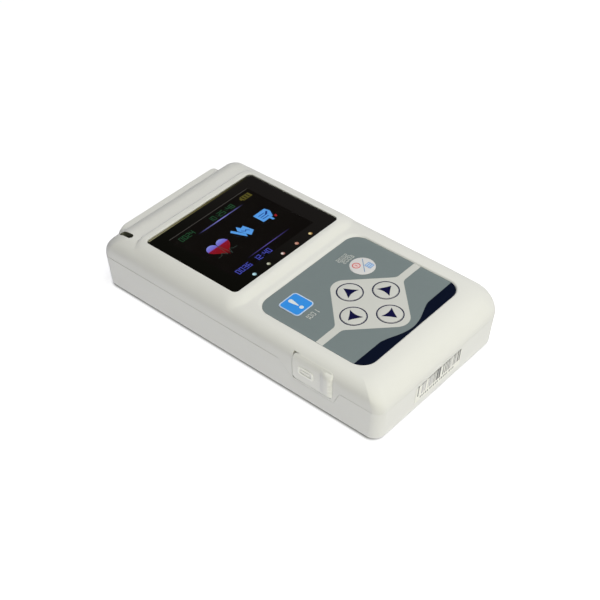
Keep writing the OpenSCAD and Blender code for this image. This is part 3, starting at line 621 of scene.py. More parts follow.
def deck_level(z):
    """Plan outline of the whole top half: half width, ends, and corner radii left, right, far."""
    return (side_x(z) - roll(z, DECK_Z, DECK_EDGE, DECK_EDGE),
            near_wall(z) + roll(z, DECK_Z, NEAR_RUN, NEAR_RISE),
            far_wall(z) - roll(z, DECK_Z, FAR_EDGE, FAR_EDGE - 1), PORT_R, NEAR_R, FAR_R)


def ridge_start(z):
    """Near end of a raised form: a slope that goes on below the deck so that it blends in."""
    up, bend = (z - DECK_Z) / (PAD_Z - DECK_Z), 0.62
    if up < 0:
        return RIDGE_Y + RIDGE_RUN * bend * max(up, -1.0)
    return RIDGE_Y + RIDGE_RUN * (1 - (1 - min(up, 1.0)) ** bend)


def band_level(z):
    return (side_x(z) - roll(z, BAND_Z, BAND_EDGE, BAND_EDGE), ridge_start(z) + 0.6,
            far_wall(z) - roll(z, BAND_Z, FAR_EDGE, FAR_EDGE), RIDGE_R, RIDGE_R, FAR_R)


def pad_level(z):
    return (side_x(z) - roll(z, PAD_Z, PAD_EDGE, PAD_EDGE), ridge_start(z),
            PAD_FAR_Y - roll(z, PAD_Z, PAD_STEP, PAD_STEP), RIDGE_R, RIDGE_R, PAD_FAR_R)


def outside(x, y, level):
    """Distance from a rounded plan outline; less than zero inside it."""
    half, y0, y1, left_r, right_r, far_r = level
    near = y < (y0 + y1) / 2
    r = (left_r if x < 0 else right_r) if near else far_r
    over_x = abs(x) - (half - r)
    over_y = (y0 + r - y) if near else (y - y1 + r)
    return min(max(over_x, over_y), 0.0) + math.hypot(max(over_x, 0.0), max(over_y, 0.0)) - r


def form_height(x, y, level, top):
    """Height of a rounded form over a point, falling away steeply outside its foot."""
    low, high = SEAM, top
    miss = outside(x, y, level(low))
    if miss > 0:
        return low - 2 * miss
    if outside(x, y, level(high)) <= 0:
        return high
    for _ in range(18):
        mid = (low + high) / 2
        if outside(x, y, level(mid)) <= 0:
            low = mid
        else:
            high = mid
    return low


def between(value, low, high):
    """0 at low, 1 at high, eased in between."""
    part = min(1.0, max(0.0, (value - low) / (high - low)))
    return part * part * (3 - 2 * part)


def soft_max(a, b, soft=SOFT):
    """The higher of two heights, with the hollow between them filled by a soft curve."""
    near = max(soft - abs(a - b), 0.0) / soft
    return max(a, b) + near * near * soft / 4


def top_height(x, y):
    """Height of the top half's outside over a point in plan."""
    z = soft_max(form_height(x, y, deck_level, DECK_Z), form_height(x, y, band_level, BAND_Z))
    soft = SOFT - (SOFT - 0.12) * between(y, 40, 50)
    return min(soft_max(z, form_height(x, y, pad_level, PAD_Z), soft), PAD_Z)


def spread(start, *runs):
    """Steps along a line: each run gives its end and how many steps it takes."""
    line = [start]
    for end, count in runs:
        begin = line[-1]
        line += [begin + (end - begin) * (i + 1) / count for i in range(count)]
    return line


# Cells of the net round each corner and across the ends, and its rows along the sides
CORNER, CROSS = 8, 22
SIDE_Y = spread(-44.0, (-8.0, 8), (-4.0, 5), (5.0, 24), (9.0, 4), (46.0, 7), (53.5, 6), (55.5, 20))
NET_U, NET_V = CROSS + 2 * CORNER, len(SIDE_Y) + 1 + 2 * CORNER


def rim_place(u, v, level):
    """Place on a rounded plan outline of the net's rim vertex in column u and row v."""
    half, y0, y1, left_r, right_r, far_r = level
    side = -1 if u < NET_U / 2 else 1
    near = v < NET_V / 2
    r = (left_r if side < 0 else right_r) if near else far_r
    down = -1 if near else 1
    corner_x, corner_y = side * (half - r), (y0 + r if near else y1 - r)
    if v in (0, NET_V):
        if CORNER <= u <= NET_U - CORNER:
            left = -half + (left_r if near else far_r)
            right = half - (right_r if near else far_r)
            return left + (right - left) * (u - CORNER) / CROSS, corner_y + down * r
        steps = min(u, NET_U - u)
        a = math.radians(45 + 45 * steps / CORNER)
    else:
        steps = min(v, NET_V - v)
        if steps > CORNER:
            return side * half, SIDE_Y[v - CORNER - 1]
        a = math.radians(45 - 45 * steps / CORNER)
    return corner_x + side * r * math.cos(a), corner_y + down * r * math.sin(a)


INNER = (27.0, -53.8, 59.4, 4.0, 4.0, 2.6)


def rim_levels():
    """Plan outlines from the inner net out over the rolled edges to the walls."""
    side, near, far = 0.3, 0.75, 0.62
    edge = (HALF_W - side - PAD_EDGE, -END_Y + near + NEAR_RUN, END_Y - far - FAR_EDGE,
            PORT_R, NEAR_R, FAR_R)
    flat, turn = 10, 26
    levels = [tuple(a + (b - a) * (i + 1) / flat for a, b in zip(INNER, edge))
              for i in range(flat)]
    for i in range(turn):
        rise = math.radians(90 * (1 - (i + 1) / turn))
        draw, foot = 1 - math.cos(rise), 0.18 + 0.82 * math.sin(rise)
        levels.append((HALF_W - side * foot - PAD_EDGE * draw,
                       -END_Y + near * foot + NEAR_RUN * draw,
                       END_Y - far * foot - FAR_EDGE * draw, PORT_R, NEAR_R, FAR_R))
    return levels


def drawn_out(bm, edges, spot, place):
    """Draws a rim out by one ring and puts each new vertex where place says."""
    before = {tuple(round(c, 4) for c in v.co): spot[v] for e in edges for v in e.verts}
    made = bmesh.ops.extrude_edge_only(bm, edges=edges)
    for vert in verts_of(made):
        spot[vert] = before[tuple(round(c, 4) for c in vert.co)]
    for vert in verts_of(made):
        vert.co = place(*spot[vert])
    return open_edges_of(made)


def top_form():
    """Outside of the top half: a net over the deck, drawn out ring by ring over the edges."""
    bm = bmesh.new()
    bmesh.ops.create_grid(bm, x_segments=NET_U, y_segments=NET_V, size=1)
    spot = {v: (round((v.co.x + 1) / 2 * NET_U), round((v.co.y + 1) / 2 * NET_V))
            for v in bm.verts}
    across = [rim_place(u, 0, INNER)[0] for u in range(NET_U + 1)]
    along = [rim_place(0, v, INNER)[1] for v in range(NET_V + 1)]
    for vert, (u, v) in spot.items():
        rim = u in (0, NET_U) or v in (0, NET_V)
        x, y = rim_place(u, v, INNER) if rim else (across[u], along[v])
        vert.co = (x, y, top_height(x, y))
    edges = [e for e in bm.edges if e.is_boundary]
    for level in rim_levels():
        def over(u, v):
            x, y = rim_place(u, v, level)
            return x, y, top_height(x, y)
        edges = drawn_out(bm, edges, spot, over)
    for z in (15.3, TOP_FOOT):
        wall = (side_x(z), near_wall(z), far_wall(z), PORT_R, NEAR_R, FAR_R)
        edges = drawn_out(bm, edges, spot, lambda u, v: (*rim_place(u, v, wall), z))
    for vert in {v for e in edges for v in e.verts}:
        vert.co.z -= NEAR_SEAM * between(-vert.co.y, END_Y - 8, END_Y - 3)
    bmesh.ops.contextual_create(bm, geom=edges)
    return bm


# ------------------------------------------------------------------ case

# Wall, undersides of the keypad deck and the pad, room round fitted pieces, half width inside
WALL, UNDER_DECK, UNDER_PAD = 2.1, 20.1, 21.23
FIT = 0.1
INNER_W = side_x(TOP_FOOT) - WALL
# Flap with the hinge bead at its far end, and the room round both
FLAP_Y, FLAP_Z, FLAP_R, FLAP_FIT = (-48.6, -30.0), (9.6, 21.2), 2.0, 0.12
SKIN_X = -HALF_W + 1.3
BEAD_R, BEAD_FIT, SWING_FIT = 0.9, 0.12, 0.48
BEAD_X, BEAD_Y = -(side_x(FLAP_Z[0]) - BEAD_R - 0.05), FLAP_Y[1] - BEAD_R - 0.25
# Shoulder over the lead socket, mouth of the socket, and lanyard slot
BULGE_W, BULGE_Z, BULGE_R, BULGE_EDGE = 28.6, 22.0, 5.0, 0.6
MOUTH_W, MOUTH_Z, MOUTH_R, MOUTH_Y = 25.6, (7.6, 19.8), 3.5, 56.48
SLOT_X, SLOT_Y, SLOT_W, SLOT_Z = -30.1, (58.5, 65.2), 2.5, 15.65
# Screw posts with their pilot holes, and openings of the keys
POST_R, POST_FOOT, PILOT_R, PILOT_TOP = 3.0, 9.8, 1.2, 14.6
KEY_R = {"up": 4.7, "left": 4.7, "down": 4.7, "right": 4.7, "power": 4.95}
MARK_HALF, MARK_R, KEY_FIT = 4.95, 1.6, 0.12
sheet_low, sheet_high = reach("keypad_sheet")
lens_low, lens_high = reach("window_lens")
port_low, port_high = reach("port_shell")
SCREWS = ["case_screw_%d" % i for i in range(1, 5)]


def even_shading(piece):
    """Lets large faces lead the shading, so that flat and rounded faces meet cleanly."""
    weigh = piece.modifiers.new("even shading", "WEIGHTED_NORMAL")
    weigh.keep_sharp = True


def shoulder():
    """Square shoulder over the lead socket, its far face in line with the leaning end wall."""
    start = END_Y - FAR_EDGE - 2
    top = rounded_path([(-BULGE_W, TOP_FOOT + 0.5, 0), (BULGE_W, TOP_FOOT + 0.5, 0),
                        (BULGE_W, BULGE_Z, BULGE_R), (-BULGE_W, BULGE_Z, BULGE_R)])
    bm = solid(top, start, END_Y, "y", BULGE_EDGE)
    for vert in bm.verts:
        if vert.co.y > start + 1:
            vert.co.y += far_wall(vert.co.z) - END_Y + 0.01
    return bm


def skirt_outline():
    """Edge, in y and z, of the part of the top half that dips round the port."""
    near, far, foot, r = FLAP_Y[0] - 1.2, FLAP_Y[1] + 1, FLAP_Z[0] - 1.05, 1.8
    top = TOP_FOOT + 0.03
    return ([(near - 2.6, top), (near - 2.6, TOP_FOOT), (near - 1.6, TOP_FOOT - 1)]
            + arc(near + r, foot + r, r, 180, 270, 6) + arc(far - r, foot + r, r, 270, 330, 4)
            + [(far + 4.6, TOP_FOOT - 0.8), (far + 5.8, TOP_FOOT), (far + 5.8, top)])


def skirt():
    """Part of the top half that dips round the port, in line with the leaning wall."""
    bm = solid(skirt_outline(), -HALF_W, -INNER_W, "x")
    for vert in bm.verts:
        if vert.co.x < -INNER_W - 1:
            vert.co.x = -side_x(vert.co.z)
    return bm


def ring_plan(half, y0, y1, near_r, far_r):
    """Outline, the same to both sides of the middle, with its own radii near and far."""
    return rounded_path([(-half, y0, near_r), (half, y0, near_r),
                         (half, y1, far_r), (-half, y1, far_r)])


def hollow():
    """Inside of the top half in three steps that follow the outside, with the lip's rebate."""
    low, lip = TOP_FOOT - 0.2, 1.0
    near_in, far_in = near_wall(SEAM) + WALL, far_wall(SEAM) - WALL
    near_r = NEAR_R - WALL
    rebate = solid(ring_plan(INNER_W + lip, near_in - lip, far_in + lip, near_r + lip,
                             FAR_R - WALL + lip), low, TOP_FOOT + 1.3)
    gate = cuboid(-HALF_W, -INNER_W + 2, FLAP_Y[0] - 4.8, FLAP_Y[1] + 7.8, 0, PAD_Z)
    space = carve(rebate, gate)
    steps = (
        (INNER_W, near_in, far_in - 0.4, near_r, FAR_R - WALL, DECK_Z - DECK_EDGE + 0.3),
        (INNER_W - 1.1, near_wall(SEAM) + NEAR_RUN / 2, END_Y - FAR_EDGE + 2, near_r, FAR_R,
         UNDER_DECK),
        (HALF_W - PAD_EDGE + 2.6, lens_low.y - 2, lens_high.y + 2, 3, 3, UNDER_PAD))
    for *plan, top in steps:
        space = carve(space, solid(ring_plan(*plan), low, top), "UNION")
    return space


def keypad_seat():
    """Recess of the keypad sheet with a soft lip, wider towards the screen."""
    lip, far_lip, sheet_r, steps = 0.6, 2.2, 6.2, 5
    top = sheet_high.z
    stages = [(sheet_low.z, 0)]
    for i in range(steps + 1):
        stages.append((top + (DECK_Z - top) * math.sin(math.radians(90 * i / steps)), i / steps))
    stages.append((PAD_Z, 1))
    levels = []
    for z, part in stages:
        grow, r = FIT + lip * part, sheet_r + lip * part
        levels.append((ring_plan(sheet_high.x + grow, sheet_low.y - grow,
                                 sheet_high.y + FIT + far_lip * part, r, r), z))
    return add_loft(bmesh.new(), levels)


def mark_key_hole():
    x, y = middle("key_mark")
    half = MARK_HALF + KEY_FIT
    return solid(rounded_box(x - half, x + half, y - half, y + half, MARK_R + KEY_FIT),
                 UNDER_DECK - 1, PAD_Z)


def round_key_hole(name):
    return rod(*middle("key_" + name), KEY_R[name] + KEY_FIT, UNDER_DECK - 1, PAD_Z, 56)


def window_seat():
    """Stepped opening under the window, with a small round on its upper edge."""
    ledge, mask_z, soft = 1.3, lens_low.z - 0.15, 0.3
    stages = [(UNDER_PAD - 1, -ledge), (mask_z, -ledge), (mask_z, FIT)]
    for a in range(0, 91, 18):
        turn = math.radians(a)
        stages.append((PAD_Z - soft * (1 - math.sin(turn)), FIT + soft * (1 - math.cos(turn))))
    stages.append((PAD_Z + 1, FIT + soft))
    levels = [(rounded_box(lens_low.x - grow, lens_high.x + grow, lens_low.y - grow,
                           lens_high.y + grow, 2), z) for z, grow in stages]
    return add_loft(bmesh.new(), levels)


def flap_plan(grow):
    """Outline of the flap, in y and z, made larger all round."""
    return rounded_box(FLAP_Y[0] - grow, FLAP_Y[1] + grow, FLAP_Z[0] - grow, FLAP_Z[1] + grow,
                       FLAP_R + grow)


def lanyard_slot():
    """Slot by the far left corner, with its way out through the end wall."""
    half = SLOT_W / 2
    eye = (arc(SLOT_X, SLOT_Y[0] + half, half, 180, 360, 12)
           + arc(SLOT_X, SLOT_Y[1] - half, half, 0, 180, 12))
    way_out = cuboid(SLOT_X - half, SLOT_X + half, SLOT_Y[0] + half, END_Y + 1, SLOT_Z, SLOT_Z + 3)
    return carve(solid(eye, SLOT_Z, PAD_Z + 1), way_out, "UNION")


def top_half():
    """Top half: rounded form, shoulder and skirt, hollowed and cut for what it holds."""
    bm = carve(top_form(), shoulder(), "UNION")
    bm = carve(bm, skirt(), "UNION")
    bm = carve(bm, hollow())
    for screw in SCREWS:
        x, y = middle(screw)
        pilot = rod(x, y, PILOT_R, POST_FOOT - 4.8, PILOT_TOP)
        bm = carve(bm, carve(rod(x, y, POST_R, POST_FOOT, UNDER_DECK + 0.3), pilot), "UNION")
    boss = cuboid(-INNER_W - 0.3, -INNER_W + 0.8, BEAD_Y - 2 * BEAD_R, BEAD_Y + 2 * BEAD_R, *FLAP_Z)
    port_y = middle("port_shell")[1]
    backing = cuboid(-INNER_W - 0.3, SKIN_X + 2, port_y - 8, port_y + 7, port_high.z - 6.2,
                     port_high.z)
    bm = carve(carve(bm, boss, "UNION"), backing, "UNION")
    foot, top = FLAP_Z[0] - FLAP_FIT, FLAP_Z[1] + FLAP_FIT
    cuts = [keypad_seat(), window_seat(), lanyard_slot(),
            solid(flap_plan(FLAP_FIT), -HALF_W - 1, SKIN_X + FLAP_FIT, "x"),
            rod(BEAD_X, BEAD_Y, BEAD_R + BEAD_FIT, foot, top),
            rod(BEAD_X, BEAD_Y, BEAD_R + SWING_FIT, foot, FLAP_Z[0] + FLAP_R),
            rod(BEAD_X, BEAD_Y, BEAD_R + SWING_FIT, FLAP_Z[1] - FLAP_R, top),
            cuboid(-HALF_W, SKIN_X + 3.2, port_low.y - 0.6, port_high.y + 0.6,
                   port_low.z - 0.4, port_high.z),
            solid(rounded_box(-MOUTH_W, MOUTH_W, *MOUTH_Z, MOUTH_R), MOUTH_Y, END_Y + 1, "y"),
            mark_key_hole()]
    cuts += [round_key_hole(name) for name in ("power", "up", "down", "left", "right")]
    for cut in cuts:
        bm = carve(bm, cut)
    return bm


def shade_slot(piece):
    """Painted shade: darker paint on the walls down inside the lanyard slot."""
    piece.data.materials.append(slot_shade)
    for face in piece.data.polygons:
        x, y, z = face.center / MM
        inside = abs(x - SLOT_X) < SLOT_W / 2 + 0.05 and SLOT_Y[0] - 0.05 < y < END_Y - 0.5
        if inside and z > SLOT_Z - 0.1 and abs(face.normal.z) < 0.3:
            face.material_index = int(abs(face.normal.x) > 0.98 or y < SLOT_Y[1] + 0.05)


top_skin = put_piece("top_cover_skin", top_half(), case_white, "case", ["top_cover"],
                     26.0)
even_shading(top_skin)
shade_slot(top_skin)
for part in ("bottom_cover", "battery_door"):
    even_shading(put_piece(part + "_skin", merged_copy(part), case_white, nodes[part]["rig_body"],
                           [part], 24.0))


def side_wall(z):
    """Outside of the case's left wall and its rounded top edge at height z."""
    return -(side_x(z) - roll(z, DECK_Z, DECK_EDGE, DECK_EDGE))


# Finger grip: its reach, how far it stands out, its crest, rounded ends and notches; and how far
# the whole flap stands out of the wall
GRIP_Y, GRIP_Z, GRIP_OUT = (-48.4, -42.9), (10.1, 20.6), 1.15
GRIP_CREST, GRIP_FOOT, GRIP_TOP = 0.68, 1.7, 1.8
NOTCH_MID, NOTCH_PITCH, NOTCH_DEPTH = 15.2, 1.6, 0.32
PROUD = 0.08


def grip_rise(y, z):
    """How far the finger grip stands out: a hollow ramp to a notched crest by its near edge."""
    along = (GRIP_Y[1] - y) / (GRIP_Y[1] - GRIP_Y[0])
    ramp = 1 - max(0.0, 1 - along / GRIP_CREST) ** 1.9
    near_edge = max(0.0, (along - GRIP_CREST) / (1 - GRIP_CREST))
    crest = math.sqrt(max(0.0, 1 - near_edge ** 2.0))
    ends = between(z, GRIP_Z[0], GRIP_Z[0] + GRIP_FOOT) * math.sqrt(
        max(0.0, 1 - max(0.0, (z - GRIP_Z[1] + GRIP_TOP) / GRIP_TOP) ** 2))
    notch = 0.5 + 0.5 * math.cos(2 * math.pi * (z - NOTCH_MID) / NOTCH_PITCH)
    cut = NOTCH_DEPTH * notch ** 3 * between(along, 0.75, 0.95)
    if abs(z - NOTCH_MID) >= 2.5 * NOTCH_PITCH:
        cut = 0.0
    return (GRIP_OUT * ramp * crest - cut) * ends


def flap_grip():
    """Finger grip as a closed patch that rises out of the flap's skin."""
    bm = bmesh.new()
    cells_y, cells_z = 30, 56
    bmesh.ops.create_grid(bm, x_segments=cells_y, y_segments=cells_z, size=1)
    for vert in bm.verts:
        y = GRIP_Y[0] + (GRIP_Y[1] - GRIP_Y[0]) * (vert.co.x + 1) / 2
        z = GRIP_Z[0] + (GRIP_Z[1] - GRIP_Z[0]) * (vert.co.y + 1) / 2
        on_rim = min(y - GRIP_Y[0], GRIP_Y[1] - y, z - GRIP_Z[0], GRIP_Z[1] - z) < 0.001
        out = -0.1 if on_rim else max(grip_rise(y, z), 0.0) - 0.05
        vert.co = (side_wall(z) - PROUD - out, y, z)
    made = bmesh.ops.extrude_edge_only(bm, edges=[e for e in bm.edges if e.is_boundary])
    for vert in verts_of(made):
        vert.co.x = SKIN_X - 0.2
    bmesh.ops.contextual_create(bm, geom=open_edges_of(made))
    return bm


def port_mark():
    """Raised sign of a plug's open end: a rounded frame with a tongue in it."""
    y, z, out = -36.4, 15.1, 0.2

    def plate(half, low, high, r, x0, x1):
        return solid(rounded_box(y - half, y + half, z + low, z + high, r), x0, x1, "x")

    frame_plate = plate(3.5, -1.8, 1.8, 0.8, -HALF_W - out, SKIN_X)
    open_end = plate(2.7, -1.0, 1.0, 0.3, -HALF_W - 1, -HALF_W + 0.35)
    tongue = plate(1.7, -0.1, 0.5, 0.12, -HALF_W - out, SKIN_X)
    bm = gather(carve(frame_plate, open_end), tongue)
    for vert in bm.verts:
        if vert.co.x < -HALF_W:
            vert.co.x = side_wall(vert.co.z) - out - PROUD
    return bm


def flap_skin():
    """Skin of the flap, flush with the wall and its rounded top edge, its rim softened."""
    bm = solid(flap_plan(0.0), -HALF_W, SKIN_X, "x")
    for i in range(17):
        z = FLAP_Z[0] + 0.2 + (FLAP_Z[1] - FLAP_Z[0] - 0.4) * math.sin(math.radians(90 * i / 16))
        bmesh.ops.bisect_plane(bm, geom=bm.verts[:] + bm.edges[:] + bm.faces[:], plane_co=(0, 0, z),
                               plane_no=(0, 0, 1), dist=0.0001)
    outer = [v for v in bm.verts if v.co.x < -HALF_W + 0.01]
    for vert in outer:
        vert.co.x = min(side_wall(vert.co.z) - PROUD, SKIN_X - 0.15)
    rim = [e for e in edges_among(bm, outer) if any(f.normal.x > -0.2 for f in e.link_faces)]
    bm.normal_update()
    soften(bm, rim, 0.3)
    return bm


def flap():
    """Rubber flap: skin, hinge bead at its far end, plug behind it and grip at its near end."""
    bead = rod(BEAD_X, BEAD_Y, BEAD_R, FLAP_Z[0] + FLAP_R, FLAP_Z[1] - FLAP_R)
    bm = carve(flap_skin(), bead, "UNION")
    plug = cuboid(SKIN_X - 0.2, SKIN_X + 0.9, port_low.y + 0.1, port_high.y - 0.1,
                  port_low.z + 0.1, port_high.z - 0.6)
    bm = carve(bm, plug, "UNION")
    return carve(bm, flap_grip(), "UNION")


even_shading(put_piece("port_flap_skin", flap(), flap_rubber, "port_flap",
                       ["port_flap"], 40.0))
put_piece("port_flap_mark", port_mark(), flap_mark, "port_flap")


# ------------------------------------------------------------------ keypad

FILM_Z = sheet_high.z
PANEL_R = 6.1


def pale_field():
    """Off-white diamond round the arrows with a band to each side of the sheet."""
    x1, band, mid, half = sheet_high.x, 1.55, -35.17, 19.5
    knee = half - band
    return rounded_path([
        (-x1, mid - band, 0), (-knee, mid - band, 3.2), (0, mid - half, 5.4),
        (knee, mid - band, 3.2), (x1, mid - band, 0), (x1, mid + band, 0),
        (knee, mid + band, 3.2), (0, mid + half, 5.4), (-knee, mid + band, 3.2),
        (-x1, mid + band, 0)])


def navy_wave():
    """Dark band along the near edge, with a dip in the middle of its upper side."""
    x0, x1, y0 = sheet_low.x, sheet_high.x, sheet_low.y
    shore, dip, half = -51.02, 4.05, 14.2
    crest = [(half * (1 - i / 20), shore - dip * math.cos(math.pi / 2 * (1 - i / 20)) ** 1.4)
             for i in range(41)]
    return [*arc(x0 + PANEL_R, y0 + PANEL_R, PANEL_R, 189.5, 270, 12),
            *arc(x1 - PANEL_R, y0 + PANEL_R, PANEL_R, 270, 350.5, 12), *crest]


def arrowhead(x, y, turn):
    """Dart with three sharp corners and a hollow back, pointing along turn."""
    tip, wing, half, notch, hollow_side = 3.2, -1.8, 3.1, 0.7, 0.05
    path = [(half * (i / 8 - hollow_side * math.sin(math.pi * i / 8)), tip + (wing - tip) * i / 8)
            for i in range(8)]
    path += [(half * (1 - i / 6), wing + notch * math.sin(math.pi * i / 12)) for i in range(12)]
    path += [(-half * (1 - i / 8 - hollow_side * math.sin(math.pi * i / 8)),
              wing + (tip - wing) * i / 8) for i in range(8)]
    cos, sin = math.cos(math.radians(turn)), math.sin(math.radians(turn))
    return [(x + px * cos - py * sin, y + px * sin + py * cos) for px, py in path]


ARROWS = {"up": 0, "left": 90, "down": 180, "right": 270}
# Radii of the openings in the off-white ink and of the printed rings round the arrow keys
OPENING_R, RING_IN, RING_OUT = 4.83, 4.70, 5.19
dress(film_grey, "keypad_sheet")
pale = add_slab(bmesh.new(), pale_field(), FILM_Z - INK / 2, FILM_Z + INK)
for arrow in ARROWS:
    pale = carve(pale, rod(*middle("key_" + arrow), OPENING_R, FILM_Z - 1, FILM_Z + 1, 72))
put_piece("keypad_pale_field", pale, film_pale, "case")
print_on("keypad_navy_wave", [navy_wave()], film_navy, FILM_Z)
rings = bmesh.new()
for arrow in ARROWS:
    add_ring(rings, *middle("key_" + arrow), RING_IN, RING_OUT, FILM_Z - 0.01, FILM_Z + 0.03)
put_piece("keypad_key_rings", rings, print_navy, "case")


# How much wider the flange under a key is than its cap
FLANGE = 0.7


def round_key(name, paint):
    """Embossed round key turned from its profile, with the flange that holds it under the film."""
    low, high = reach("key_" + name)
    flange, foot, top = (high.x - low.x) / 2, low.z, high.z
    cap, under, step = flange - FLANGE + 0.09, foot + 0.15, 0.4
    profile = [(0, foot), (1.5, foot), (1.5, under), (flange, under), (flange, under + step),
               (cap, under + step), (cap, top - 0.1), (cap - 0.05, top - 0.03), (cap - 0.16, top),
               (cap * 0.5, top + 0.012), (0, top + 0.016)]
    put_piece("key_" + name + "_cap", turned(profile, *middle("key_" + name), 72), paint,
              "key_" + name, ["key_" + name])


for arrow, turn in ARROWS.items():
    round_key(arrow, film_pale)
    x, y = middle("key_" + arrow)
    top = reach("key_" + arrow)[1].z
    bm = add_slab(bmesh.new(), arrowhead(x, y, turn), top - 0.02, top + 0.03)
    add_ring(bm, x, y, 4.60, RING_IN, top - 0.06, top + 0.012)
    put_piece("key_" + arrow + "_print", bm, print_navy, "key_" + arrow)

# Mark key: a blue field in a light border, with a tapered bar over a dot
mark_low, mark_high = reach("key_mark")
mark_top = mark_high.z
mx, my = middle("key_mark")
put_piece("key_mark_cap", merged_copy("key_mark"), key_border, "key_mark",
          ["key_mark"])
inner = (mark_high.x - mark_low.x) / 2 - FLANGE - 0.48
print_on("key_mark_field", [rounded_box(mx - inner, mx + inner, my - inner, my + inner, 1.15)],
         key_blue, mark_top, "key_mark")
taper = [*arc(mx, my + 2.7, 0.95, 0, 180, 12), (mx - 0.25, my - 1.1), (mx + 0.25, my - 1.1)]
print_on("key_mark_symbol", [taper, disc(mx, my - 2.55, 0.85, 32)], mark_white,
         mark_top + 0.02, "key_mark")

# Power key: a ring and bar, a slash and a page with lines
round_key("power", key_white)
px, py = middle("key_power")
power_top = reach("key_power")[1].z + 0.012
rx, ry = px - 1.45, py + 1.85
ink_low, ink_high = power_top - 0.02, power_top + 0.035
bm = add_ring(bmesh.new(), rx, ry, 1.28, 1.66, ink_low, ink_high)
add_bar(bm, (rx, ry - 0.62), (rx, ry + 0.62), 0.34, ink_low, ink_high)
put_piece("key_power_ring", bm, power_red, "key_power")
print_on("key_power_ring_field", [disc(rx, ry, 1.6, 48)], power_pink, power_top, "key_power")
slash = add_bar(bmesh.new(), (px - 2.35, py - 2.95), (px + 3.2, py + 2.65), 0.26, ink_low,
                power_top + 0.02)
put_piece("key_power_slash", slash, slash_blue, "key_power")
gx, gy = px + 2.0, py - 1.75
print_on("key_power_page", [rounded_box(gx - 1.4, gx + 1.4, gy - 1.45, gy + 1.45, 0.15)],
         page_blue, power_top, "key_power")
print_on("key_power_page_rows",
         [rounded_box(gx - 1.12, gx + 1.12, gy + 0.62 + row, gy + 1.14 + row)
          for row in (0, -0.88, -1.76)], page_fill, power_top + 0.02, "key_power")
print_on("keypad_figures", number_strokes("1001", mx - 3.7, my - 9.1, 2.0, 0.3, 1.02)
         + number_strokes("2002", px - 4.1, py + 8.1, 1.6, 0.26, 1.2)
         + number_strokes("2003", px - 3.3, py + 5.95, 1.6, 0.26, 1.2), figure_grey, FILM_Z)


# ------------------------------------------------------------------ window and display

window_clear = start_material("window clear", Base_Color=(0.90, 0.90, 0.89, 1), Roughness=0.0,
                              IOR=1.49, Transmission_Weight=1.0)[0]
pane = add_slab(bmesh.new(), rounded_box(lens_low.x, lens_high.x, lens_low.y, lens_high.y, 1.9),
                lens_low.z, lens_high.z, 0.12)
put_piece("window_pane", pane, window_clear, "case", ["window_lens"])
# Strip along the window's far edge: painted reflection and shade of the recess's inner edge,
# glowing olive, bright at -x and dark at +x
window_edge_painted_reflection, w, shader = unlit("window edge painted reflection", 1.0)
w.feed(shader.inputs["Emission Color"],
       w.ramp(w.span(w.place(0), -29 * MM, 29 * MM),
              [(0.0, (0.30, 0.28, 0.17)), (0.5, (0.16, 0.14, 0.06)),
               (1.0, (0.03, 0.028, 0.012))]))
UNDER_LENS = lens_low.z - 0.015
print_on("window_edge", [rounded_box(lens_low.x + 1.6, lens_high.x - 2.4, lens_high.y - 0.5,
                                     lens_high.y - 0.06, 0.1)], window_edge_painted_reflection, UNDER_LENS,
         "case")
dress(mask_print_painted_sheen, "window_mask")

SCREEN_Z = reach("display_glass")[1].z
display_black = glowing("display black", (1.0, 0.72, 0.55), 0.0045)
dress(display_black, "display_glass")

menu_green = glowing("menu green", (0.05, 0.24, 0.10), 0.5)
cell_olive = glowing("cell olive", (0.25, 0.22, 0.04), 0.5)
text_blue = glowing("text blue", (0.10, 0.12, 0.75), 0.9)
icon_blue = glowing("icon blue", (0.12, 0.42, 1.0), 1.05)
icon_dark = glowing("icon dark", (0.02, 0.07, 0.42), 0.7)
icon_red = glowing("icon red", (0.55, 0.02, 0.03), 0.8)
edge_grey = glowing("edge grey", (0.35, 0.33, 0.30), 0.35)
trace_green = glowing("trace green", (0.12, 0.20, 0.17), 0.4)


def on_screen(name, outlines, paint, level=0):
    """Part of the picture on the display, raised by as many inks as lie under it."""
    return print_on(name, outlines, paint, SCREEN_Z + INK * level, "case")


def fading_line(name, x0, x1, y, height, light, strength):
    """Lit line that fades out towards both of its ends."""
    material, w, shader = unlit(name + " glow", strength)
    mid, half = (x0 + x1) / 2 * MM, (x1 - x0) / 2 * MM
    away = w.maths("ABSOLUTE", w.maths("DIVIDE", w.maths("SUBTRACT", w.place(0), mid), half))
    through_dots(w, shader, w.ramp(away, [(0.0, light), (0.55, tuple(c * 0.45 for c in light)),
                                          (1.0, (0.004, 0.003, 0.006))]))
    on_screen(name, [rounded_box(x0, x1, y - height / 2, y + height / 2)], material)


def heart_outline(cx, cy, size):
    """Plain heart: two lobes and a point."""
    points = []
    for i in range(64):
        t = 2 * math.pi * i / 64
        x = 16 * math.sin(t) ** 3
        y = 13 * math.cos(t) - 5 * math.cos(2 * t) - 2 * math.cos(3 * t) - math.cos(4 * t)
        points.append((cx + size * x / 16, cy + size * y / 16))
    return points


heart_glow, w, shader = unlit("heart glow", 0.9)
through_dots(w, shader, w.ramp(
    w.span(w.place(1), 23.0 * MM, 32.8 * MM),
    [(0.0, (0.10, 0.004, 0.008)), (0.32, (0.32, 0.008, 0.014)), (0.62, (0.34, 0.010, 0.03)),
     (0.70, (0.24, 0.20, 0.85)), (0.98, (0.33, 0.40, 1.0))]))
on_screen("screen_heart", [heart_outline(-12.5, 28.2, 5.3)], heart_glow)

pulse = [(-17.6, 24.2), (-15.6, 24.4), (-14.6, 25.6), (-13.4, 23.4), (-12.6, 31.0), (-11.6, 22.6),
         (-10.6, 25.4), (-9.4, 24.4), (-7.4, 24.2)]
bm = bmesh.new()
for a, b in zip(pulse, pulse[1:]):
    add_bar(bm, a, b, 0.18, SCREEN_Z + 0.01, SCREEN_Z + 0.04)
put_piece("screen_pulse", bm, trace_green, "case")

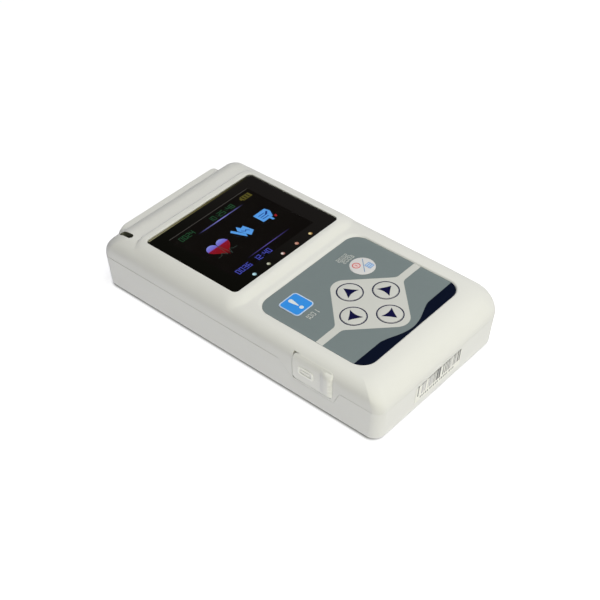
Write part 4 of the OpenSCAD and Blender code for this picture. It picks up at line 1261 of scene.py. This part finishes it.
on_screen("screen_figures", number_strokes("0024", -19.2, 41.8, 2.4, 0.24)
          + number_strokes("10:25:48", -3.2, 41.8, 2.4, 0.24), menu_green)
on_screen("screen_message", number_strokes("0036", -19.3, 11.8, 2.4, 0.28)
          + number_strokes("12:40", -9.4, 11.8, 2.4, 0.28), text_blue)
on_screen("screen_edge", [rounded_box(-22.0, 22.0, 46.25, 46.45)], edge_grey)
fading_line("screen_upper_line", -12.4, 13.9, 40.4, 0.5, (0.32, 0.32, 0.95), 0.8)
fading_line("screen_lower_line", -10.9, 14.1, 15.9, 0.4, (0.16, 0.12, 0.55), 0.8)
on_screen("screen_cell", [[(14.6, 42.4), (15.4, 42.4), (15.4, 41.7), (20.4, 41.7), (20.4, 44.4),
                           (15.4, 44.4), (15.4, 43.7), (14.6, 43.7)]], cell_olive)
on_screen("screen_cell_gaps", [rounded_box(x, x + 0.45, 42.0, 44.1) for x in (16.0, 17.4, 18.8)],
          display_black, 1)

# Middle icon: sheets fanned out, with a curve drawn on the front one
on_screen("screen_sheets", [[(-3.4, 31.6), (-2.3, 32.3), (0.2, 26.6), (-0.6, 24.9)],
                            [(-0.9, 30.2), (0.6, 32.4), (1.4, 30.4), (3.0, 31.0), (4.0, 26.0),
                             (1.0, 24.5)]], icon_blue)
on_screen("screen_sheets_curve", [[(0.3, 29.3), (1.2, 28.0), (2.0, 28.6), (2.9, 27.2), (2.7, 26.9),
                                   (2.0, 28.1), (1.2, 27.5), (0.1, 28.9)]], icon_dark, 1)
# Right icon: a page with lines and a pen
on_screen("screen_page", [[(10.1, 26.3), (10.1, 32.0), (16.6, 32.0), (17.2, 29.4), (15.4, 26.3)]],
          icon_blue)
on_screen("screen_page_lines", [rounded_box(11.2, 14.6, y, y + 0.35) for y in (27.6, 28.8, 30.0)]
          + [[(14.0, 29.2), (15.8, 30.6), (16.3, 30.0), (14.6, 28.6)]], icon_dark, 1)
on_screen("screen_page_pen", [[(13.4, 26.6), (14.6, 27.6), (14.5, 24.4), (13.6, 24.6)]],
          icon_blue, 1)
on_screen("screen_page_tip", [[(15.8, 26.0), (17.0, 26.4), (16.8, 25.2), (15.9, 24.9)]], icon_red)

# Each lamp shows through a tinted spot in the mask, with a painted highlight on one side; each pair
# gives the highlight's tone and the spot's tint
LAMP_TONES = [((0.55, 0.82, 0.90), (0.30, 0.50, 0.56)), ((0.62, 0.64, 0.52), (0.18, 0.18, 0.11)),
              ((0.82, 0.78, 0.72), (0.34, 0.13, 0.11)), ((0.60, 0.34, 0.26), (0.42, 0.17, 0.12)),
              ((0.88, 0.74, 0.38), (0.32, 0.17, 0.05))]


def lamp_spot(name, x, y, painted_highlight, tone):
    """Translucent tinted spot over a lamp, in the window's mask, with a painted highlight off its
    middle.
    """
    material, w, shader = unlit(name + " tint", 1.0)
    painted_highlight_centre = ((x - 0.25) * MM, (y + 0.22) * MM, lens_low.z * MM)
    away = w.vector_maths("DISTANCE", w.here(), painted_highlight_centre, "Value")
    w.feed(shader.inputs["Emission Color"],
           w.ramp(w.span(away, 0.15 * MM, 0.95 * MM), [(0.0, painted_highlight), (1.0, tone)]))
    print_on(name + "_spot", [disc(x, y, 0.82)], material, UNDER_LENS, "case")


def lamp_dome(name, tone):
    """Lamp of clear tinted epoxy with a rounded top."""
    low, high = reach(name)
    r, rise = (high.x - low.x) / 2, 0.35
    profile = [(0, low.z), (r, low.z)]
    for a in range(0, 91, 15):
        turn = math.radians(a)
        profile.append((r * math.cos(turn), high.z - rise + rise * math.sin(turn)))
    material = moulded(name + " epoxy", tone, 0.2, 2600.0, 0.2, 0.05, 0.02,
                       Emission_Color=(*tone, 1), Emission_Strength=0.25)
    put_piece(name + "_dome", turned(profile, *middle(name), 32), material, "case",
              [name])


for i, (painted_highlight, tone) in enumerate(LAMP_TONES):
    lamp = "lamp_%d" % (i + 1)
    lamp_spot(lamp, *middle(lamp), painted_highlight, tone)
    lamp_dome(lamp, tone)


# ------------------------------------------------------------------ label

label_paper = moulded("label paper", (0.80, 0.795, 0.76), 0.3, 3000.0, 0.03, 0.1)
label_grey = ink("label grey", (0.10, 0.10, 0.11), 0.3)
label_mid = ink("label mid grey", (0.24, 0.24, 0.26), 0.3)
label_light = ink("label light grey", (0.44, 0.43, 0.48), 0.3)
dress(label_paper, "end_label")

# Lower edge of the label's outer face, and the slope of that face on the near end wall
foot_z = reach("end_label")[0].z
foot_y = min(v.co.y for v in nodes["end_label"].data.vertices
             if v.co.z < (foot_z + 0.2) * MM) / MM
slope = math.atan(NEAR_LEAN)


def on_label(x, rise):
    """Point on the label's face, rise millimetres up its slope from its lower edge."""
    return Vector((x, foot_y - rise * math.sin(slope), foot_z + rise * math.cos(slope)))


def label_mark(bm, x0, x1, r0, r1):
    """Printed rectangle on the sloping face of the label."""
    out = Vector((0, -math.cos(slope), -math.sin(slope)))
    corners = [on_label(x0, r0), on_label(x1, r0), on_label(x1, r1), on_label(x0, r1)]
    face = bm.faces.new([bm.verts.new(c - out * 0.01) for c in corners])
    made = bmesh.ops.extrude_face_region(bm, geom=[face])
    bmesh.ops.translate(bm, verts=verts_of(made), vec=out * 0.03)


# Upright bars in three strengths of ink, each given as its left edge and width
BARS = (
    (label_grey, ((-15.4, 0.5), (-4.4, 1.0), (-3.1, 1.0), (0.6, 0.45), (8.2, 0.6), (9.3, 0.55))),
    (label_mid, ((-6.2, 0.45), (-5.3, 0.4), (-0.7, 0.6), (1.6, 0.5), (2.6, 0.6), (3.6, 0.35),
                 (5.6, 0.4), (6.4, 0.5))),
    (label_light, ((-13.1, 0.5), (-12.2, 0.3), (-11.3, 0.45), (-9.4, 0.3), (-8.6, 0.5), (-7.7, 0.3),
                   (-7.0, 0.3), (4.5, 0.25), (7.4, 0.25))))
BAR_RISE, ROW_RISE = (2.9, 8.3), (1.0, 2.0)
for i, (paint, bars) in enumerate(BARS):
    bm = bmesh.new()
    for start, width in bars:
        label_mark(bm, start, start + width, *BAR_RISE)
    put_piece("end_label_bars_%d" % (i + 1), bm, paint, "case")
# A row of small dashes under the bars, with a wider space after every fifth
bm = bmesh.new()
x, row_end = -13.6, 6.6
count = 0
while x < row_end:
    width = (0.5, 0.75, 0.4, 0.6)[count * 3 % 4]
    label_mark(bm, x, x + width, *ROW_RISE)
    x += width + (1.0 if count % 5 == 4 else 0.5)
    count += 1
put_piece("end_label_row", bm, label_mid, "case")


# ------------------------------------------------------------------ inside

board_green, w, shader = start_material("solder mask", Roughness=0.35)
grid = w.put("TexBrick", {"Vector": w.here(), "Scale": 260.0, "Mortar Size": 0.035,
                          "Color1": (0.012, 0.10, 0.05, 1), "Color2": (0.016, 0.13, 0.06, 1),
                          "Mortar": (0.03, 0.20, 0.09, 1)}, offset=0.5)
fleck = w.noise(500.0, 3.0)
w.feed(shader.inputs["Base Color"], w.mix(fleck, grid.outputs["Color"], (0.01, 0.08, 0.04, 1)))
lift = w.put("Bump", {"Strength": 0.3, "Distance": 0.03 * MM, "Height": grid.outputs["Fac"]})
w.feed(shader.inputs["Normal"], lift.outputs["Normal"])
dress(board_green, "main_board", "key_board")
dress(steel, "display_frame", "port_shell", "battery_plate", "switch_mark", "switch_power",
      *["switch_" + arrow for arrow in ARROWS], *SCREWS)
dress(spring_steel, "battery_springs")
dress(socket_black, "lead_socket")
dress(tongue_black, "port_tongue")
dress(gilt, "lead_pins")


def cell_finish(name, flip):
    """Sleeve with two bands and bare metal at both ends, by place along the cell."""
    low, high = reach(name)
    material, w, shader = start_material(name + " sleeve", Roughness=0.3)
    start, end = (high.y, low.y) if flip else (low.y, high.y)
    along = w.span(w.place(1), start * MM, end * MM)
    sleeve = w.ramp(along, [(0.0, (0.5, 0.5, 0.5)), (0.02, (0.05, 0.22, 0.14)),
                            (0.66, (0.05, 0.22, 0.14)), (0.67, (0.55, 0.56, 0.5)),
                            (0.955, (0.55, 0.56, 0.5)), (0.965, (0.5, 0.5, 0.5))], False)
    cloud = w.noise(300.0, 3.0)
    w.feed(shader.inputs["Base Color"],
           w.mix(1.0, sleeve, w.span(cloud, 0.3, 0.7, 0.93, 1.0), "MULTIPLY"))
    ends = w.ramp(along, [(0.0, 1.0), (0.019, 1.0), (0.02, 0.0), (0.962, 0.0), (0.965, 1.0)],
                  False)
    w.feed(shader.inputs["Metallic"], ends)
    w.feed(shader.inputs["Roughness"], w.span(cloud, 0.3, 0.7, 0.22, 0.34))
    dress(material, name)


cell_finish("battery_1", False)
cell_finish("battery_2", True)


# ------------------------------------------------------------------ floor, light and camera

# Lights: name, place in metres, power in watts and tone
LIGHTS = (("key light", (-0.37, -0.84, 0.50), 2.7, (1.0, 0.99, 0.66)),
          ("top light", (0.06, -0.13, 0.50), 2.4, (1.0, 1.0, 0.96)))
LIGHT_SIZE, LIGHT_AIM = 0.4, Vector((0, 0, 0.01))
FLOOR_SIZE, AIR_LIGHT = 3.0, 0.015
# Camera: focal length in millimetres, turn, rise and tilt in degrees, and the point it looks at
# with its distance from there, in metres
LENS, TURN, RISE, TILT = 78.354, -48.349, 40.799, -1.0048
AIM, AWAY = Vector((-0.015115, -0.014482, 0.02233)), 0.478521


def lit_floor():
    """White table that glows as if lit from below, with a painted contact shadow where the case
    stands on it.
    """
    material, w, shader = start_material("floor white", Roughness=0.9, Specular_IOR_Level=0.1,
                                         Emission_Strength=0.86)
    w.feed(shader.inputs["Base Color"],
           w.mix(w.noise(3.0, 2.0), (0.37, 0.37, 0.37, 1), (0.38, 0.38, 0.38, 1)))
    # Painted contact shadow: the glow is dark inside a rounded box round the case's footprint and
    # comes up over the next 1.2 mm
    corner = 4.0
    centre = (-0.85 * MM, 0.7 * MM, 0.0)
    half = ((35.3 - corner) * MM, (67.5 - corner) * MM, 1.0)
    away = w.vector_maths("ABSOLUTE", w.vector_maths("SUBTRACT", w.here(), centre))
    away = w.vector_maths("MAXIMUM", w.vector_maths("SUBTRACT", away, half))
    away = w.vector_maths("LENGTH", away, output="Value")
    glow = w.span(away, corner * MM, (corner + 1.2) * MM)
    w.feed(shader.inputs["Emission Color"], w.mix(glow, (0.1, 0.1, 0.1, 1), (0.98, 0.98, 1, 1)))
    return material


def studio():
    """Floor, air, lights and camera."""
    scene = bpy.context.scene
    bm = bmesh.new()
    bmesh.ops.create_grid(bm, x_segments=1, y_segments=1, size=FLOOR_SIZE)
    mesh = bpy.data.meshes.new("floor")
    bm.to_mesh(mesh)
    bm.free()
    mesh.materials.append(lit_floor())
    placed("floor", mesh)

    world = bpy.data.worlds.new("studio air")
    world.use_nodes = True
    air = world.node_tree.nodes["Background"]
    air.inputs["Color"].default_value = (1, 1, 1, 1)
    air.inputs["Strength"].default_value = AIR_LIGHT
    scene.world = world

    for name, place, power, tone in LIGHTS:
        data = bpy.data.lights.new(name, "AREA")
        data.shape, data.size, data.energy, data.color = "DISK", LIGHT_SIZE, power, tone
        light = placed(name, data)
        light.location = place
        light.rotation_euler = (LIGHT_AIM - Vector(place)).to_track_quat("-Z", "Y").to_euler()
        # Only the key light is mirrored, so that the window shows its picture from above
        light.visible_glossy = name == "key light"

    camera_data = bpy.data.cameras.new("camera")
    camera_data.sensor_width, camera_data.lens = 36.0, LENS
    camera_data.clip_start = 0.01
    turn, rise, tilt = (math.radians(a) for a in (TURN, RISE, TILT))
    back = Vector((math.sin(turn) * math.cos(rise), -math.cos(turn) * math.cos(rise),
                   math.sin(rise)))
    level = Vector((0, 0, 1)).cross(back).normalized()
    right = level * math.cos(tilt) + back.cross(level) * math.sin(tilt)
    top = back.cross(right)
    place = AIM + back * AWAY
    camera = placed("camera", camera_data)
    camera.matrix_world = Matrix((
        (right.x, top.x, back.x, place.x), (right.y, top.y, back.y, place.y),
        (right.z, top.z, back.z, place.z), (0, 0, 0, 1)))
    scene.camera = camera
    scene.view_settings.view_transform = "Standard"


studio()
